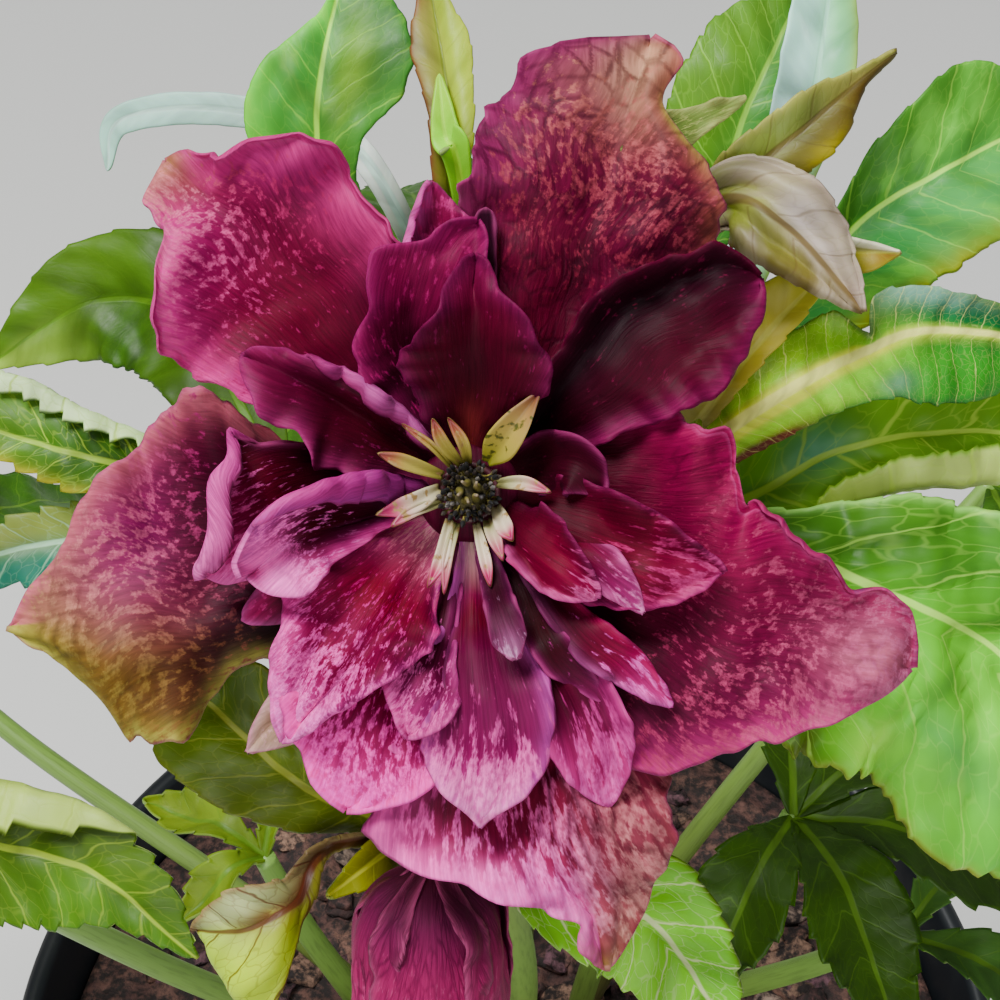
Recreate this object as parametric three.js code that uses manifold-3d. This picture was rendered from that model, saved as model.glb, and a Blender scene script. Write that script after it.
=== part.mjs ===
// Double-flowered hellebore in a round nursery pot: one open bloom, one nodding bud, a leafy flower
// stem and basal leaves on long stalks. Millimetres, +Z up, origin at the centre of the pot's underside.
import * as THREE from "three";
import { mergeVertices } from "three/addons/utils/BufferGeometryUtils.js";
import Module from "manifold-3d";

const wasm = await Module();
wasm.setup();

// Driving sizes
const pot = { height: 175, topRadius: 93, baseRadius: 70, wall: 1.8, floor: 2.5, sides: 32 };
const rim = { depth: 16, proud: 2.5, roll: 3.5 };
const drain = { radius: 5, ring: 48, count: 6, sides: 8 };
const soil = {
  level: 160, relief: 1.6, edgeDrop: 2, wallGap: 0.9, rings: 5, spokes: 24, clearance: 0.3, stalkFit: 0.4,
};
const bark = {
  count: 12, length: 17, width: 8, thickness: 3, skew: 0.35, taper: 0.62, tilt: 0.35, inner: 24, spread: 54,
  seed: 11,
};
const bloom = { centre: [-4, -61, 411], tilt: 40 };
const receptacle = { radius: 5.2, top: 3, bottom: -7, sides: 14 };
const nectaryRing = { inner: 2.9, outer: 3.7, thickness: 0.7 };
const gap = 0.3;
const petalThickness = 0.7;
const leafThickness = 0.7;
const toothDepth = 0.16;
const narrowPetal = 4.5;
const leastHalfWidth = 0.3;

// Petals in the bloom's own frame: x to the right, y up the face, z out along the bloom's axis. Each is a
// rib from base to tip with the half-widths and the lifts of its two margins at even steps along it.
const outerSepals = {
  topRight: {
    rib: [[2, 2.6, -2], [7, 13, 1], [10, 22, 3], [13, 31, 3], [16.5, 41.5, 1]],
    left: [2, 5, 8, 10.3, 11.7, 12, 11.6, 9.5, 3.5], right: [2, 6, 8.8, 10.6, 12, 11.6, 10, 3, 4.5],
    leftLift: [1, 1, 0, 1, -1], rightLift: [1, 2, 1, 0, 2],
  },
  right: {
    rib: [[2.6, -1, -2], [11, -6, 2], [20.5, -11, 4], [30.5, -13.5, 4], [40, -15, 2]],
    left: [2, 8, 14, 15, 11, 9.2, 7.1, 5.6, 3], right: [2, 5, 10, 13.5, 15.5, 13, 9.5, 5.5, 2],
    leftLift: [1, 2, 1, 3, 1], rightLift: [0, 1, 1, 2, 0],
  },
  bottom: {
    rib: [[0.6, -3, -2], [4.5, -17, 2], [7.5, -27.5, 4], [11, -36.5, 4], [12.5, -43.5, 1]],
    left: [2, 5, 8, 10.5, 11.5, 10.5, 7.8, 4, 0.8], right: [2, 7, 12, 15.5, 16.3, 9, 4.5, 1.5, 1],
    leftLift: [0, 1, 1, 0, 0], rightLift: [1, 2, 2, 3, 0],
  },
  lowerLeft: {
    rib: [[-3, -0.8, -2.6], [-13, -7, 0], [-22.5, -10, 2], [-32.5, -11.5, 3], [-42.5, -12.5, -1]],
    left: [2, 3.5, 4.5, 6, 7, 11, 10.5, 4.2, 0.8], right: [2, 8, 14, 18, 18.5, 16, 12, 6.5, 1],
    leftLift: [0, 0, -1, -2, 0], rightLift: [0, 1, 1, 0, 0],
  },
  topLeft: {
    rib: [[-2, 2, -2], [-9, 11, 2], [-16, 19, 4], [-23, 26, 4], [-27.5, 30, 2]],
    left: [2, 5, 8, 11, 12.8, 13, 8, 4.5, 2.5], right: [2, 5, 8, 10.2, 10.4, 10.4, 6, 2.5, 2],
    leftLift: [0, 1, 1, 2, 0], rightLift: [0, 1, 2, 3, 0],
  },
};
const innerPetals = {
  upperRight: {
    rib: [[3, 2, -1], [11.5, 10, 4], [18.5, 15.5, 6], [25.5, 19, 5]],
    left: [2, 3, 4.5, 6, 5.6, 4.4, 1], right: [2, 3.5, 5.5, 7.4, 7.4, 5.5, 2],
    leftLift: [2, 2, 1], rightLift: [1, 1, 0],
  },
  topBack: {
    rib: [[-1, 3, 0], [-2.5, 11, 4], [-3, 17, 7], [-0.5, 23.5, 7]],
    left: [1.5, 4, 6.5, 7.5, 6.5, 4, 1], right: [1.5, 3.5, 5, 5.5, 4.5, 3, 1],
    leftLift: [1, 2, 1], rightLift: [1, 2, 1],
  },
  topLobe: {
    rib: [[-1, 3, -1], [-2.5, 16, 2], [-3.5, 28, 4]],
    left: [1.5, 3, 3.5, 2.4, 1], right: [1.5, 3, 4.5, 4, 1],
    leftLift: [0, 1, 2], rightLift: [0, 0, 0],
  },
  topTip: {
    rib: [[0.5, 3, -1], [0.8, 15, 2], [1.5, 25.5, 5]], left: [1, 1.6, 1], right: [1, 1.6, 1],
  },
  topFront: {
    rib: [[0, 3, 1], [0.5, 10.5, 8], [0.5, 16, 11], [-1, 20, 9]],
    left: [1, 4.6, 6.6, 4, 1.6, 0.6], right: [1, 4.6, 6.8, 4.6, 1.5, 0.6],
    leftLift: [0, 2, 1], rightLift: [0, 2, 1],
  },
  leftUpper: {
    rib: [[-2.5, 1.6, 0.6], [-9, 6, 5.4], [-15, 9.5, 8.6], [-20, 12, 8]],
    left: [1, 4, 5, 4.4, 3.2, 1], right: [1, 2.4, 3, 2.6, 2.2, 1], leftLift: [0, 2, 0],
  },
  leftOuter: {
    rib: [[-3, -0.4, 0], [-12.5, -0.5, 4], [-18.5, -3.5, 6], [-23.5, -7.5, 5]],
    left: [1, 4, 5, 5, 4, 1.5], right: [1, 4, 6, 6.3, 3, 0.8], rightLift: [0, 3, 3],
  },
  leftCup: {
    rib: [[-3, -0.8, 0.8], [-9.5, -2.5, 5.6], [-15, -4, 9.4], [-20, -7, 8]],
    left: [1, 3.6, 4.6, 4.8, 4, 1], right: [1, 2.6, 4, 4, 3, 1], rightLift: [0, 4, 4],
  },
  leftTip: {
    rib: [[-2.8, -1.2, -0.5], [-12.5, -6, 3], [-17, -9.5, 4], [-20.5, -11.5, 3]],
    left: [1, 3, 3.5, 2, 0.6], right: [1, 3, 3, 2, 0.6],
  },
  lowerLeftFront: {
    rib: [[-2, -2.2, 1], [-8, -9.5, 6], [-12, -15, 8], [-16.5, -22, 6]],
    left: [1, 3, 5, 5.2, 4, 2, 0.6], right: [1, 5, 7, 7.6, 5.8, 4, 0.6],
    leftLift: [0, 1, 1], rightLift: [0, 1, 1],
  },
  lowerLeftBack: {
    rib: [[-1.4, -2.7, -0.6], [-5.5, -14, 3], [-8, -21, 5.5], [-11, -28.5, 4]],
    left: [1, 4, 6, 7.5, 7.5, 5.5, 1.5], right: [1, 4, 6.5, 8.5, 9, 6.5, 2],
    leftLift: [0, 1, 1], rightLift: [0, 1, 1],
  },
  lowerMiddle: {
    rib: [[-0.8, -3, 1], [-2, -11.5, 5], [-3.5, -16.5, 7], [-6, -21.5, 6]],
    left: [1, 2.5, 4, 3.5, 0.6], right: [1, 2.5, 4, 3.5, 0.6], leftLift: [0, 1, 0], rightLift: [0, 1, 0],
  },
  lowerMiddleTip: {
    rib: [[-0.9, -2.8, 0], [-5.5, -17, 5], [-4.5, -25, 5.5]], left: [1, 2.6, 3, 0.6], right: [1, 2.6, 3, 0.6],
  },
  bottomFront: {
    rib: [[0, -3, 1.5], [0.5, -13, 7], [1.5, -21, 9], [1, -29.5, 7]],
    left: [1, 2.6, 4.2, 5.6, 5.6, 3.4, 0.4], right: [1, 2.4, 3.6, 5, 5.4, 3.6, 0.4],
    leftLift: [0, 0, 1], rightLift: [0, 0, 1],
  },
  bottomRight: {
    rib: [[1, -2.9, 0], [6.5, -14, 5], [9.5, -20, 7], [12.5, -28, 5]],
    left: [1, 2.8, 3.4, 3.4, 3.2, 0.8], right: [1, 2.6, 3.6, 3.8, 3, 0.6],
    leftLift: [0, 1, 0], rightLift: [0, 1, 0],
  },
  lilacFlap: {
    rib: [[0.8, -2.6, 2], [3, -11.5, 9], [4, -15.5, 9.6]],
    left: [0.7, 1.8, 2, 0.6], right: [0.7, 1.6, 1.9, 0.6],
  },
  narrowOuter: {
    rib: [[2.2, -2, 0.6], [9.5, -11.5, 7], [14, -15, 8], [18, -19, 6.5]],
    left: [0.7, 1.4, 1.8, 1.4, 0.4], right: [0.7, 1.8, 2.4, 2, 0.4], rightLift: [0, 1, 0],
  },
  narrowInner: {
    rib: [[1.6, -2.4, 1.4], [6.5, -12.5, 7], [9.5, -16, 8], [12, -18.5, 7]],
    left: [0.7, 1.6, 1.8, 1.2, 0.4], right: [0.7, 1.6, 1.8, 1.2, 0.4],
  },
  rightFront: {
    rib: [[2.8, -0.9, 1], [9, -3.5, 7], [16, -6, 9], [22.5, -7, 7.5]],
    left: [1, 4, 4.8, 4.4, 2.6, 0.5], right: [1, 4, 5.6, 5, 3.4, 0.5], leftLift: [0, 2, 1],
  },
  rightInner: {
    rib: [[2.6, 0.8, 0.6], [6, 2.4, 3.8], [9.3, 2.2, 7.6], [12, 0, 7.4]],
    left: [0.8, 2.4, 3, 2.4, 0.5], right: [0.8, 2.4, 3, 2.4, 0.5], leftLift: [0, 1, 1],
  },
};

// Nectaries stand on a ring round the centre: foot and tip seen along the bloom's axis
const nectaries = [
  [[-1.5, 2.6], [-3.5, 6]], [[-0.6, 3.2], [-1.6, 6.4]], [[0.4, 3.2], [0.9, 7.4]], [[-2.9, 1.4], [-7.6, 3]],
  [[-3.2, 0.3], [-8.2, -1.2]], [[-3, -1.2], [-6.8, -3]], [[-2, -2.5], [-3.7, -8]], [[-1.1, -3], [-2.1, -9]],
  [[-0.1, -3.2], [-0.9, -10]], [[1.2, -3], [1.8, -8]], [[2.5, -2], [3.8, -5]], [[3.1, -0.7], [5.4, -1.7]],
];
const leafyNectary = {
  rib: [[2, 2.5, 3.9], [4, 4.8, 7.8], [6.2, 8, 9.2]], left: [0.6, 1.7, 0.4], right: [0.6, 1.7, 0.4],
};
const nectary = { halfWidths: [0.5, 0.9, 0.6], foot: 3.9, middle: 6.6, tip: 7.6, thickness: 0.6 };

// Bloom's centre: [radius, height] above the receptacle of its cushion, and rings of small stalks on it
const centre = {
  sides: 12,
  cushion: [[0, 0], [2.5, 0], [2.4, 1.2], [1.4, 2], [0, 2.2]],
  carpels: { count: 3, start: 0.5, points: [[0.5, 1], [0.9, 3], [0.7, 4.6]], radii: [0.6, 0.55, 0.15],
    sides: 4, steps: 2 },
  stamens: { count: 10, start: 0, points: [[1.7, 0.8], [2.1, 2], [2.4, 3]], radii: [0.3, 0.25, 0.4],
    sides: 3, steps: 1 },
};

// Bud: [radius, height] of its core and of the ribs of its sepals, height measured from its stalk
const budForm = {
  sepals: 5, start: 0.3, sides: 9,
  core: [[0, 0], [2.6, 1], [6.4, 7], [7.2, 13], [5.6, 20], [0, 25]],
  rib: [[1, 0.6], [7, 6.5], [8.6, 14], [6.6, 22], [3, 28]],
  sepal: {
    left: [1, 4.5, 6.4, 6.2, 4, 0.5], right: [1, 4.5, 6.4, 6.2, 4, 0.5],
    leftLift: [0, -1.8, -2.2, -1.5, 0], rightLift: [0, -1.2, -1.4, -1, 0],
  },
};

// The flower stem (bloom's frame) rises from the crown to the fork under the bloom. From the fork one
// stalk goes on to the bloom and one, hooked over, to the bud.
const fork = [-3, -36, -31];
const stemPath = [[4, -119, -236], [4, -115, -231], [6, -80, -150], [3, -50, -72], fork];
const bloomStalk = [fork, [-1, -22, -27], [0, -4, -17], [0, 0, -11], [0, 0, receptacle.bottom - gap]];
const budStalk = [fork, [-5, -35, -22], [-4, -35.5, -14.5]];
const budTop = [-4, -36.8, -12.6];
const budLean = 150;
const stemRadii = [3.2, 3.2, 2.8, 2.3, 2];
const leafStalkRadii = [2.4, 2.2, 1.9, 1.6];
const bloomStalkRadii = [2, 1.6, 1.6, 2, 2.3];
const budStalkRadii = [1.8, 1.4, 1.3];

// Blades of the upper foliage in the bloom's frame, toothed where "teeth" is set
const stemBracts = {
  belowRight: {
    rib: [fork, [9, -40, -24], [18, -45, -20], [30, -53, -24]],
    left: [1, 5, 8, 8, 5, 0.5], right: [1, 4, 6, 6, 4, 0.6], teeth: true,
  },
  underLeft: {
    rib: [fork, [-15, -30, -16], [-24, -22, -12], [-34, -13, -16]],
    left: [1, 2.4, 5.5, 7.5, 6.5, 0.5], right: [1, 3, 6, 7, 5, 0.5], teeth: true,
  },
  keel: {
    rib: [fork, [-14, -35, -15], [-17, -39.5, -10], [-22, -42, -9], [-27, -42.5, -12]],
    left: [0.8, 2, 7, 11, 8, 0.5], right: [0.8, 1.5, 3, 4, 2.6, 0.5],
    leftLift: [0, -1, -2], rightLift: [0, 1, 1],
  },
};
const khakiBract = {
  lower: {
    rib: [[1.95, 0.9, -11], [14, 16, -8], [23, 27, -7], [28, 26, -4], [37, 17, -5]],
    left: [0.7, 1, 1.6, 3, 3.8, 2.6, 0.4], right: [0.7, 1, 1.6, 2.6, 3.4, 2, 0.4],
  },
  upper: {
    rib: [[18, 21, -7.8], [25, 29, -8], [32, 35, -7], [39.5, 41, -8]],
    left: [0.6, 2, 2.6, 2, 0.4], right: [0.6, 1.6, 2.4, 1.8, 0.4],
  },
};
// Leaf hubs, where the leaflets meet the stalk (bloom's frame)
const hubs = { right: [18, 0, -28], top: [1, 10, -37], left: [-22, 0, -47], lowerLeft: [-70, -33, -36] };
const leafRight = {
  upRight: {
    rib: [hubs.right, [35, 18, -36], [48.5, 32.5, -31], [64, 44, -36]],
    left: [1, 5, 8.5, 9.5, 7, 0.5], right: [1, 5, 9, 9, 6, 0.5], teeth: true,
  },
  yellow: {
    rib: [hubs.right, [25.5, 11.5, -14], [31.5, 18.5, -12], [36, 23, -14]],
    left: [0.6, 3, 5, 2.6, 0.5], right: [0.6, 1.5, 1.8, 1.5, 0.5],
  },
  thickRib: {
    rib: [hubs.right, [28, 9, -16], [37.5, 14.5, -16], [46, 16.5, -18], [62, 15, -24]],
    left: [1, 3, 4.5, 5, 4.5, 3, 0.5], right: [1, 3, 5.5, 6.5, 6, 4, 0.5],
    leftLift: [0, 1, 1], rightLift: [0, -2, -2], teeth: true,
  },
  dark: {
    rib: [hubs.right, [27, -1, -26], [38, 4.5, -25], [52, 6.5, -27], [66, 5, -32]],
    left: [1, 5, 7, 7, 6, 0.5], right: [1, 3, 4, 4, 3, 0.5], teeth: true,
  },
  big: {
    rib: [hubs.right, [34.5, -7, -20], [44, -11, -21], [55, -17, -25], [70, -28, -35]],
    left: [1, 6, 10, 11, 9, 5, 0.6], right: [1, 9, 16, 19, 22, 24.5, 16, 0.6],
    rightLift: [0, -3, -4], teeth: true,
  },
};
const leafTop = {
  left: {
    rib: [hubs.top, [-13, 24, -32], [-16, 38, -25], [-11, 56, -28]],
    left: [1, 5.5, 7.5, 7.2, 4, 1.5, 0.5], right: [1, 4, 6.5, 8.5, 9, 6, 0.5], teeth: true,
  },
  middle: {
    rib: [hubs.top, [-2, 29, -16], [-2.3, 38.5, -14], [-4.5, 52, -18]],
    left: [1, 1.5, 1.8, 2, 2.4, 3, 0.5], right: [1, 1.8, 2.2, 2.4, 2.6, 3, 0.5],
  },
  right: {
    rib: [hubs.top, [24, 26, -27], [32, 41, -23], [33, 56, -27]],
    left: [1, 5, 9, 10, 8, 0.5], right: [1, 4, 6, 7, 6, 0.5], teeth: true,
  },
  pale: {
    rib: [hubs.top, [-13, 36, -46], [-33, 43.5, -50], [-42, 38, -50]],
    left: [0.8, 2, 2.5, 0.5], right: [0.8, 1.6, 1.8, 0.5],
  },
};
const leafLeft = {
  edge: {
    rib: [hubs.left, [-34, 2.4, -38], [-46, 5, -36], [-64, 11, -40]],
    left: [1, 5, 6, 5, 3, 0.5], right: [1, 3, 4.5, 5, 4, 0.5], teeth: true,
  },
  lower: {
    rib: [hubs.left, [-36, -4, -42], [-50, -6, -41], [-64, -10, -45]],
    left: [1, 4, 5, 4, 0.5], right: [1, 4, 4.5, 3.6, 0.5], teeth: true,
  },
  dark: {
    rib: [hubs.left, [-34, 20, -64], [-47, 24, -70], [-62, 16, -74]],
    left: [1.5, 8, 9, 7, 0.6], right: [1.5, 7, 9, 7, 0.6], teeth: true,
  },
};
const leafLowerLeft = {
  tip: {
    rib: [hubs.lowerLeft, [-52, -37, -27], [-38.5, -41.5, -24], [-26.5, -49, -24]],
    left: [1, 5, 7.5, 7, 5.5, 3, 0.5], right: [1, 6, 8.5, 8, 6, 2.5, 0.5], teeth: true,
  },
};

// Leaf stalks in the plant's frame, from 12 mm under the soil up to the hub
const leafStalkFeet = {
  right: [[12, -4, 148], [13, -6, 200], [19, -24, 300]],
  top: [[2, 11, 148], [3, 12, 210], [3, -2, 310]],
  left: [[-12, 1, 148], [-15, 0, 210], [-23, -13, 300]],
  lowerLeft: [[-10, -10, 148], [-18, -18, 200], [-50, -44, 290]],
};

// Leaves spread by rule: stalk and heading in the plant's frame, leaflets fanned round the heading
const ruleLeaves = {
  leaf_deep_right: {
    path: [[10, -13, 148], [16, -24, 210], [28, -40, 280], [36, -43, 326]],
    heading: -15, reach: 36, width: 8, count: 5, fan: 105, droop: 8,
  },
  leaf_low_right: {
    path: [[16, -1, 148], [26, -8, 200], [48, -26, 255], [58, -33, 277]],
    heading: -30, reach: 30, width: 6, count: 3, fan: 80, droop: 6,
  },
  leaf_young: {
    path: [[-16, -6, 148], [-22, -12, 200], [-32, -20, 255], [-36, -24, 284]],
    heading: 150, reach: 22, width: 4.5, count: 3, fan: 70, droop: 2,
  },
  leaf_back_left: {
    path: [[-14, 8, 148], [-40, 12, 196], [-86, 26, 240], [-108, 38, 262]],
    heading: 165, reach: 76, width: 13, count: 5, fan: 110, droop: 26,
  },
  leaf_back: {
    path: [[-3, 18, 148], [-4, 34, 200], [-8, 62, 265], [-10, 76, 290]],
    heading: 100, reach: 68, width: 12, count: 5, fan: 110, droop: 26,
  },
  leaf_back_right: {
    path: [[11, 12, 148], [30, 22, 200], [66, 40, 262], [82, 50, 282]],
    heading: 25, reach: 78, width: 13, count: 5, fan: 110, droop: 28,
  },
  leaf_front: {
    path: [[2, -16, 148], [6, -34, 190], [18, -78, 236], [22, -96, 246]],
    heading: -80, reach: 70, width: 12, count: 5, fan: 105, droop: 24,
  },
};
const outerLeaflet = { shorter: 0.28, narrower: 0.2 };
const lowerLeftSpread = { heading: 215, reach: 60, width: 12, count: 3, fan: 75, droop: 18 };

const colours = {
  petal: 0x8e1243, bud: 0x7d2048, nectary: 0xd9cf8e, centre: 0x4a3f22, stem: 0x7f9a52, khaki: 0x8d8158,
  leaf: 0x4f8f33, shade: 0x2f5a23, soil: 0x4a3430, pot: 0x1d2429,
};
const roughness = { petal: 0.55, leaf: 0.45, centre: 0.7, soil: 0.95, pot: 0.5 };

const bloomFrame = new THREE.Matrix4()
  .makeRotationX(THREE.MathUtils.degToRad(bloom.tilt))
  .setPosition(...bloom.centre);
const bloomAxis = new THREE.Vector3(0, 0, 1).transformDirection(bloomFrame);
const upright = new THREE.Vector3(0, 0, 1);

const vector = (point) => new THREE.Vector3(...point);
const fromBloom = (points) => points.map((point) => vector(point).applyMatrix4(bloomFrame).toArray());
const smooth = (points) => new THREE.CatmullRomCurve3(points.map(vector), false, "catmullrom", 0.5);

// A smooth function of t through values at even steps
function profile(values) {
  const curve = smooth(values.map((value) => [value, 0, 0]));
  return (t) => curve.getPoint(t).x;
}

function meshData(vertices, triangles) {
  const geometry = new THREE.BufferGeometry();
  geometry.setAttribute("position", new THREE.Float32BufferAttribute(vertices.flat(), 3));
  geometry.setIndex(triangles.flat());
  return geometry;
}

// A manifold solid from any closed geometry
function solid(geometry) {
  const bare = geometry.clone();
  bare.deleteAttribute("normal");
  bare.deleteAttribute("uv");
  const merged = mergeVertices(bare, 1e-4);
  return new wasm.Manifold(new wasm.Mesh({
    numProp: 3,
    vertProperties: new Float32Array(merged.attributes.position.array),
    triVerts: new Uint32Array(merged.index.array),
  }));
}

const join = (solids) => solids.reduce((whole, piece) => whole.add(piece));

function toGeometry(manifold) {
  const { vertProperties, triVerts } = manifold.getMesh();
  const geometry = new THREE.BufferGeometry();
  geometry.setAttribute("position", new THREE.BufferAttribute(vertProperties, 3));
  geometry.setIndex(new THREE.BufferAttribute(triVerts, 1));
  geometry.computeVertexNormals();
  return geometry;
}

function mesh(name, manifold, colour, rough) {
  const material = new THREE.MeshStandardMaterial({ color: colour, roughness: rough, metalness: 0 });
  const result = new THREE.Mesh(toGeometry(manifold), material);
  result.name = name;
  return result;
}

// Closed shell round a sheet of (rows + 1) x (columns + 1) points, split alike on both faces
function thicken(sheet, rows, columns, thickness) {
  const at = (i, j) => sheet[i * (columns + 1) + j];
  const index = (i, j) => i * (columns + 1) + j;
  const upper = [];
  const lower = [];
  for (let i = 0; i <= rows; i++) {
    for (let j = 0; j <= columns; j++) {
      const along = at(Math.min(i + 1, rows), j).clone().sub(at(Math.max(i - 1, 0), j));
      const across = at(i, Math.min(j + 1, columns)).clone().sub(at(i, Math.max(j - 1, 0)));
      const normal = across.cross(along).normalize();
      upper.push(at(i, j).clone().addScaledVector(normal, thickness / 2).toArray());
      lower.push(at(i, j).clone().addScaledVector(normal, -thickness / 2).toArray());
    }
  }
  const under = sheet.length;
  const triangles = [];
  const wall = (from, to) => triangles.push([from, to, to + under], [from, to + under, from + under]);
  for (let i = 0; i < rows; i++) {
    for (let j = 0; j < columns; j++) {
      const [a, b, c, d] = [index(i, j), index(i + 1, j), index(i + 1, j + 1), index(i, j + 1)];
      triangles.push([a, d, c], [a, c, b]);
      triangles.push([a + under, c + under, d + under], [a + under, b + under, c + under]);
    }
    wall(index(i, 0), index(i + 1, 0));
    wall(index(i + 1, columns), index(i, columns));
  }
  for (let j = 0; j < columns; j++) {
    wall(index(0, j + 1), index(0, j));
    wall(index(rows, j), index(rows, j + 1));
  }
  return solid(meshData([...upper, ...lower], triangles));
}

// A petal, leaflet or bract: point(t, v) = rib(t) + across * v * half-width(t) + up * lift(t) * v * v
function blade(shape, face, rows, columns, thickness) {
  const rib = smooth(shape.rib);
  const halfWidth = [profile(shape.left), profile(shape.right)];
  const lift = [profile(shape.leftLift ?? [0, 0]), profile(shape.rightLift ?? [0, 0])];
  const sheet = [];
  for (let i = 0; i <= rows; i++) {
    const t = i / rows;
    const along = rib.getTangent(t);
    const across = along.clone().cross(face).normalize();
    const up = across.clone().cross(along);
    const tooth = shape.teeth && i % 2 === 0 ? 1 - toothDepth : 1;
    for (let j = 0; j <= columns; j++) {
      const v = (2 * j) / columns - 1;
      const side = v < 0 ? 0 : 1;
      const reach = Math.max(halfWidth[side](t), leastHalfWidth) * tooth;
      const flat = rib.getPoint(t).addScaledVector(across, v * reach);
      sheet.push(flat.addScaledVector(up, lift[side](t) * v * v));
    }
  }
  return thicken(sheet, rows, columns, thickness);
}

// A tapering round stalk along a smooth path
function stalk(points, radii, sides, steps) {
  const path = smooth(points);
  const frames = path.computeFrenetFrames(steps, false);
  const radius = profile(radii);
  const vertices = [];
  const triangles = [];
  for (let i = 0; i <= steps; i++) {
    const centre = path.getPointAt(i / steps);
    for (let j = 0; j < sides; j++) {
      const turn = (2 * Math.PI * j) / sides;
      const point = centre.clone()
        .addScaledVector(frames.normals[i], Math.cos(turn) * radius(i / steps))
        .addScaledVector(frames.binormals[i], Math.sin(turn) * radius(i / steps));
      vertices.push(point.toArray());
    }
  }
  for (let i = 0; i < steps; i++) {
    for (let j = 0; j < sides; j++) {
      const k = (j + 1) % sides;
      const [a, b, c, d] = [i * sides + j, i * sides + k, (i + 1) * sides + k, (i + 1) * sides + j];
      triangles.push([a, b, c], [a, c, d]);
    }
  }
  for (let j = 1; j < sides - 1; j++) {
    triangles.push([0, j + 1, j]);
    triangles.push([steps * sides, steps * sides + j, steps * sides + j + 1]);
  }
  return solid(meshData(vertices, triangles));
}

function lathe(profilePoints, sides) {
  const points = profilePoints.map(([radius, height]) => new THREE.Vector2(radius, height));
  return new THREE.LatheGeometry(points, sides).rotateX(Math.PI / 2);
}

// Repeatable draw between 0 and 1 (linear congruential)
function seeded(seed) {
  let state = seed;
  return () => {
    state = (state * 1664525 + 1013904223) % 4294967296;
    return state / 4294967296;
  };
}

const potRadius = (z) => pot.baseRadius + ((pot.topRadius - pot.baseRadius) * z) / pot.height;

function makePot() {
  const { height, topRadius, baseRadius, wall, floor, sides } = pot;
  const rimFoot = height - rim.depth;
  const outline = [
    [0, 0], [baseRadius - 2, 0], [baseRadius, 2], [potRadius(rimFoot), rimFoot],
    [potRadius(rimFoot) + rim.proud, rimFoot + 1], [topRadius + rim.proud, height - rim.roll],
    [topRadius + rim.proud - 1, height - 0.8], [topRadius, height], [topRadius - wall, height - 1.2],
    [potRadius(rimFoot) - wall, rimFoot - 2], [potRadius(floor) - wall, floor], [0, floor],
  ];
  const holes = Array.from({ length: drain.count }, (_, k) => {
    const turn = (2 * Math.PI * k) / drain.count;
    const bore = new THREE.CylinderGeometry(drain.radius, drain.radius, floor * 4, drain.sides);
    bore.rotateX(Math.PI / 2).translate(drain.ring * Math.cos(turn), drain.ring * Math.sin(turn), 0);
    return solid(bore);
  });
  return holes.reduce((body, hole) => body.subtract(hole), solid(lathe(outline, sides)));
}

// One bark chip: a thin wedge with a skewed outline, half sunk in the surface
function barkChip(draw) {
  const share = () => 0.6 + 0.6 * draw();
  const tilt = () => bark.tilt * (draw() - 0.5);
  const chip = new THREE.BoxGeometry(bark.length * share(), bark.width * share(), bark.thickness);
  const place = chip.attributes.position;
  for (let i = 0; i < place.count; i++) {
    const far = place.getX(i) > 0 ? bark.taper : 1;
    place.setXY(i, place.getX(i) + place.getY(i) * bark.skew, place.getY(i) * far);
  }
  const turn = 2 * Math.PI * draw();
  const spot = 2 * Math.PI * draw();
  const radius = bark.inner + bark.spread * Math.sqrt(draw());
  chip.rotateX(tilt()).rotateY(tilt()).rotateZ(turn);
  return solid(chip.translate(radius * Math.cos(spot), radius * Math.sin(spot), soil.level));
}

// Compost: the pot's inside filled to the level, its top raised in low mounds
function makeSoil(stalkHoles) {
  const inner = (z) => potRadius(z) - pot.wall - soil.wallGap;
  const bottom = pot.floor + soil.clearance;
  const vertices = [[0, 0, soil.level]];
  const triangles = [];
  for (let i = 1; i <= soil.rings; i++) {
    const edge = i === soil.rings ? 0 : 1;
    const radius = (inner(soil.level) * i) / soil.rings;
    for (let j = 0; j < soil.spokes; j++) {
      const turn = (2 * Math.PI * j) / soil.spokes;
      const mound = Math.sin(5 * turn + 1.7 * i) * Math.cos(3 * turn - 2.3 * i) * edge;
      const z = soil.level - soil.edgeDrop * (1 - edge) + soil.relief * mound;
      vertices.push([radius * Math.cos(turn), radius * Math.sin(turn), z]);
    }
  }
  for (let j = 0; j < soil.spokes; j++) {
    const turn = (2 * Math.PI * j) / soil.spokes;
    vertices.push([inner(bottom) * Math.cos(turn), inner(bottom) * Math.sin(turn), bottom]);
  }
  vertices.push([0, 0, bottom]);
  const ring = (i, j) => 1 + (i - 1) * soil.spokes + (j % soil.spokes);
  for (let j = 0; j < soil.spokes; j++) {
    triangles.push([0, ring(1, j), ring(1, j + 1)]);
    for (let i = 1; i <= soil.rings; i++) {
      triangles.push([ring(i, j), ring(i + 1, j), ring(i + 1, j + 1)]);
      triangles.push([ring(i, j), ring(i + 1, j + 1), ring(i, j + 1)]);
    }
    triangles.push([vertices.length - 1, ring(soil.rings + 1, j + 1), ring(soil.rings + 1, j)]);
  }
  const draw = seeded(bark.seed);
  const chips = Array.from({ length: bark.count }, () => barkChip(draw));
  const filled = join([solid(meshData(vertices, triangles)), ...chips]);
  return stalkHoles.reduce((body, hole) => body.subtract(hole), filled);
}

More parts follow.
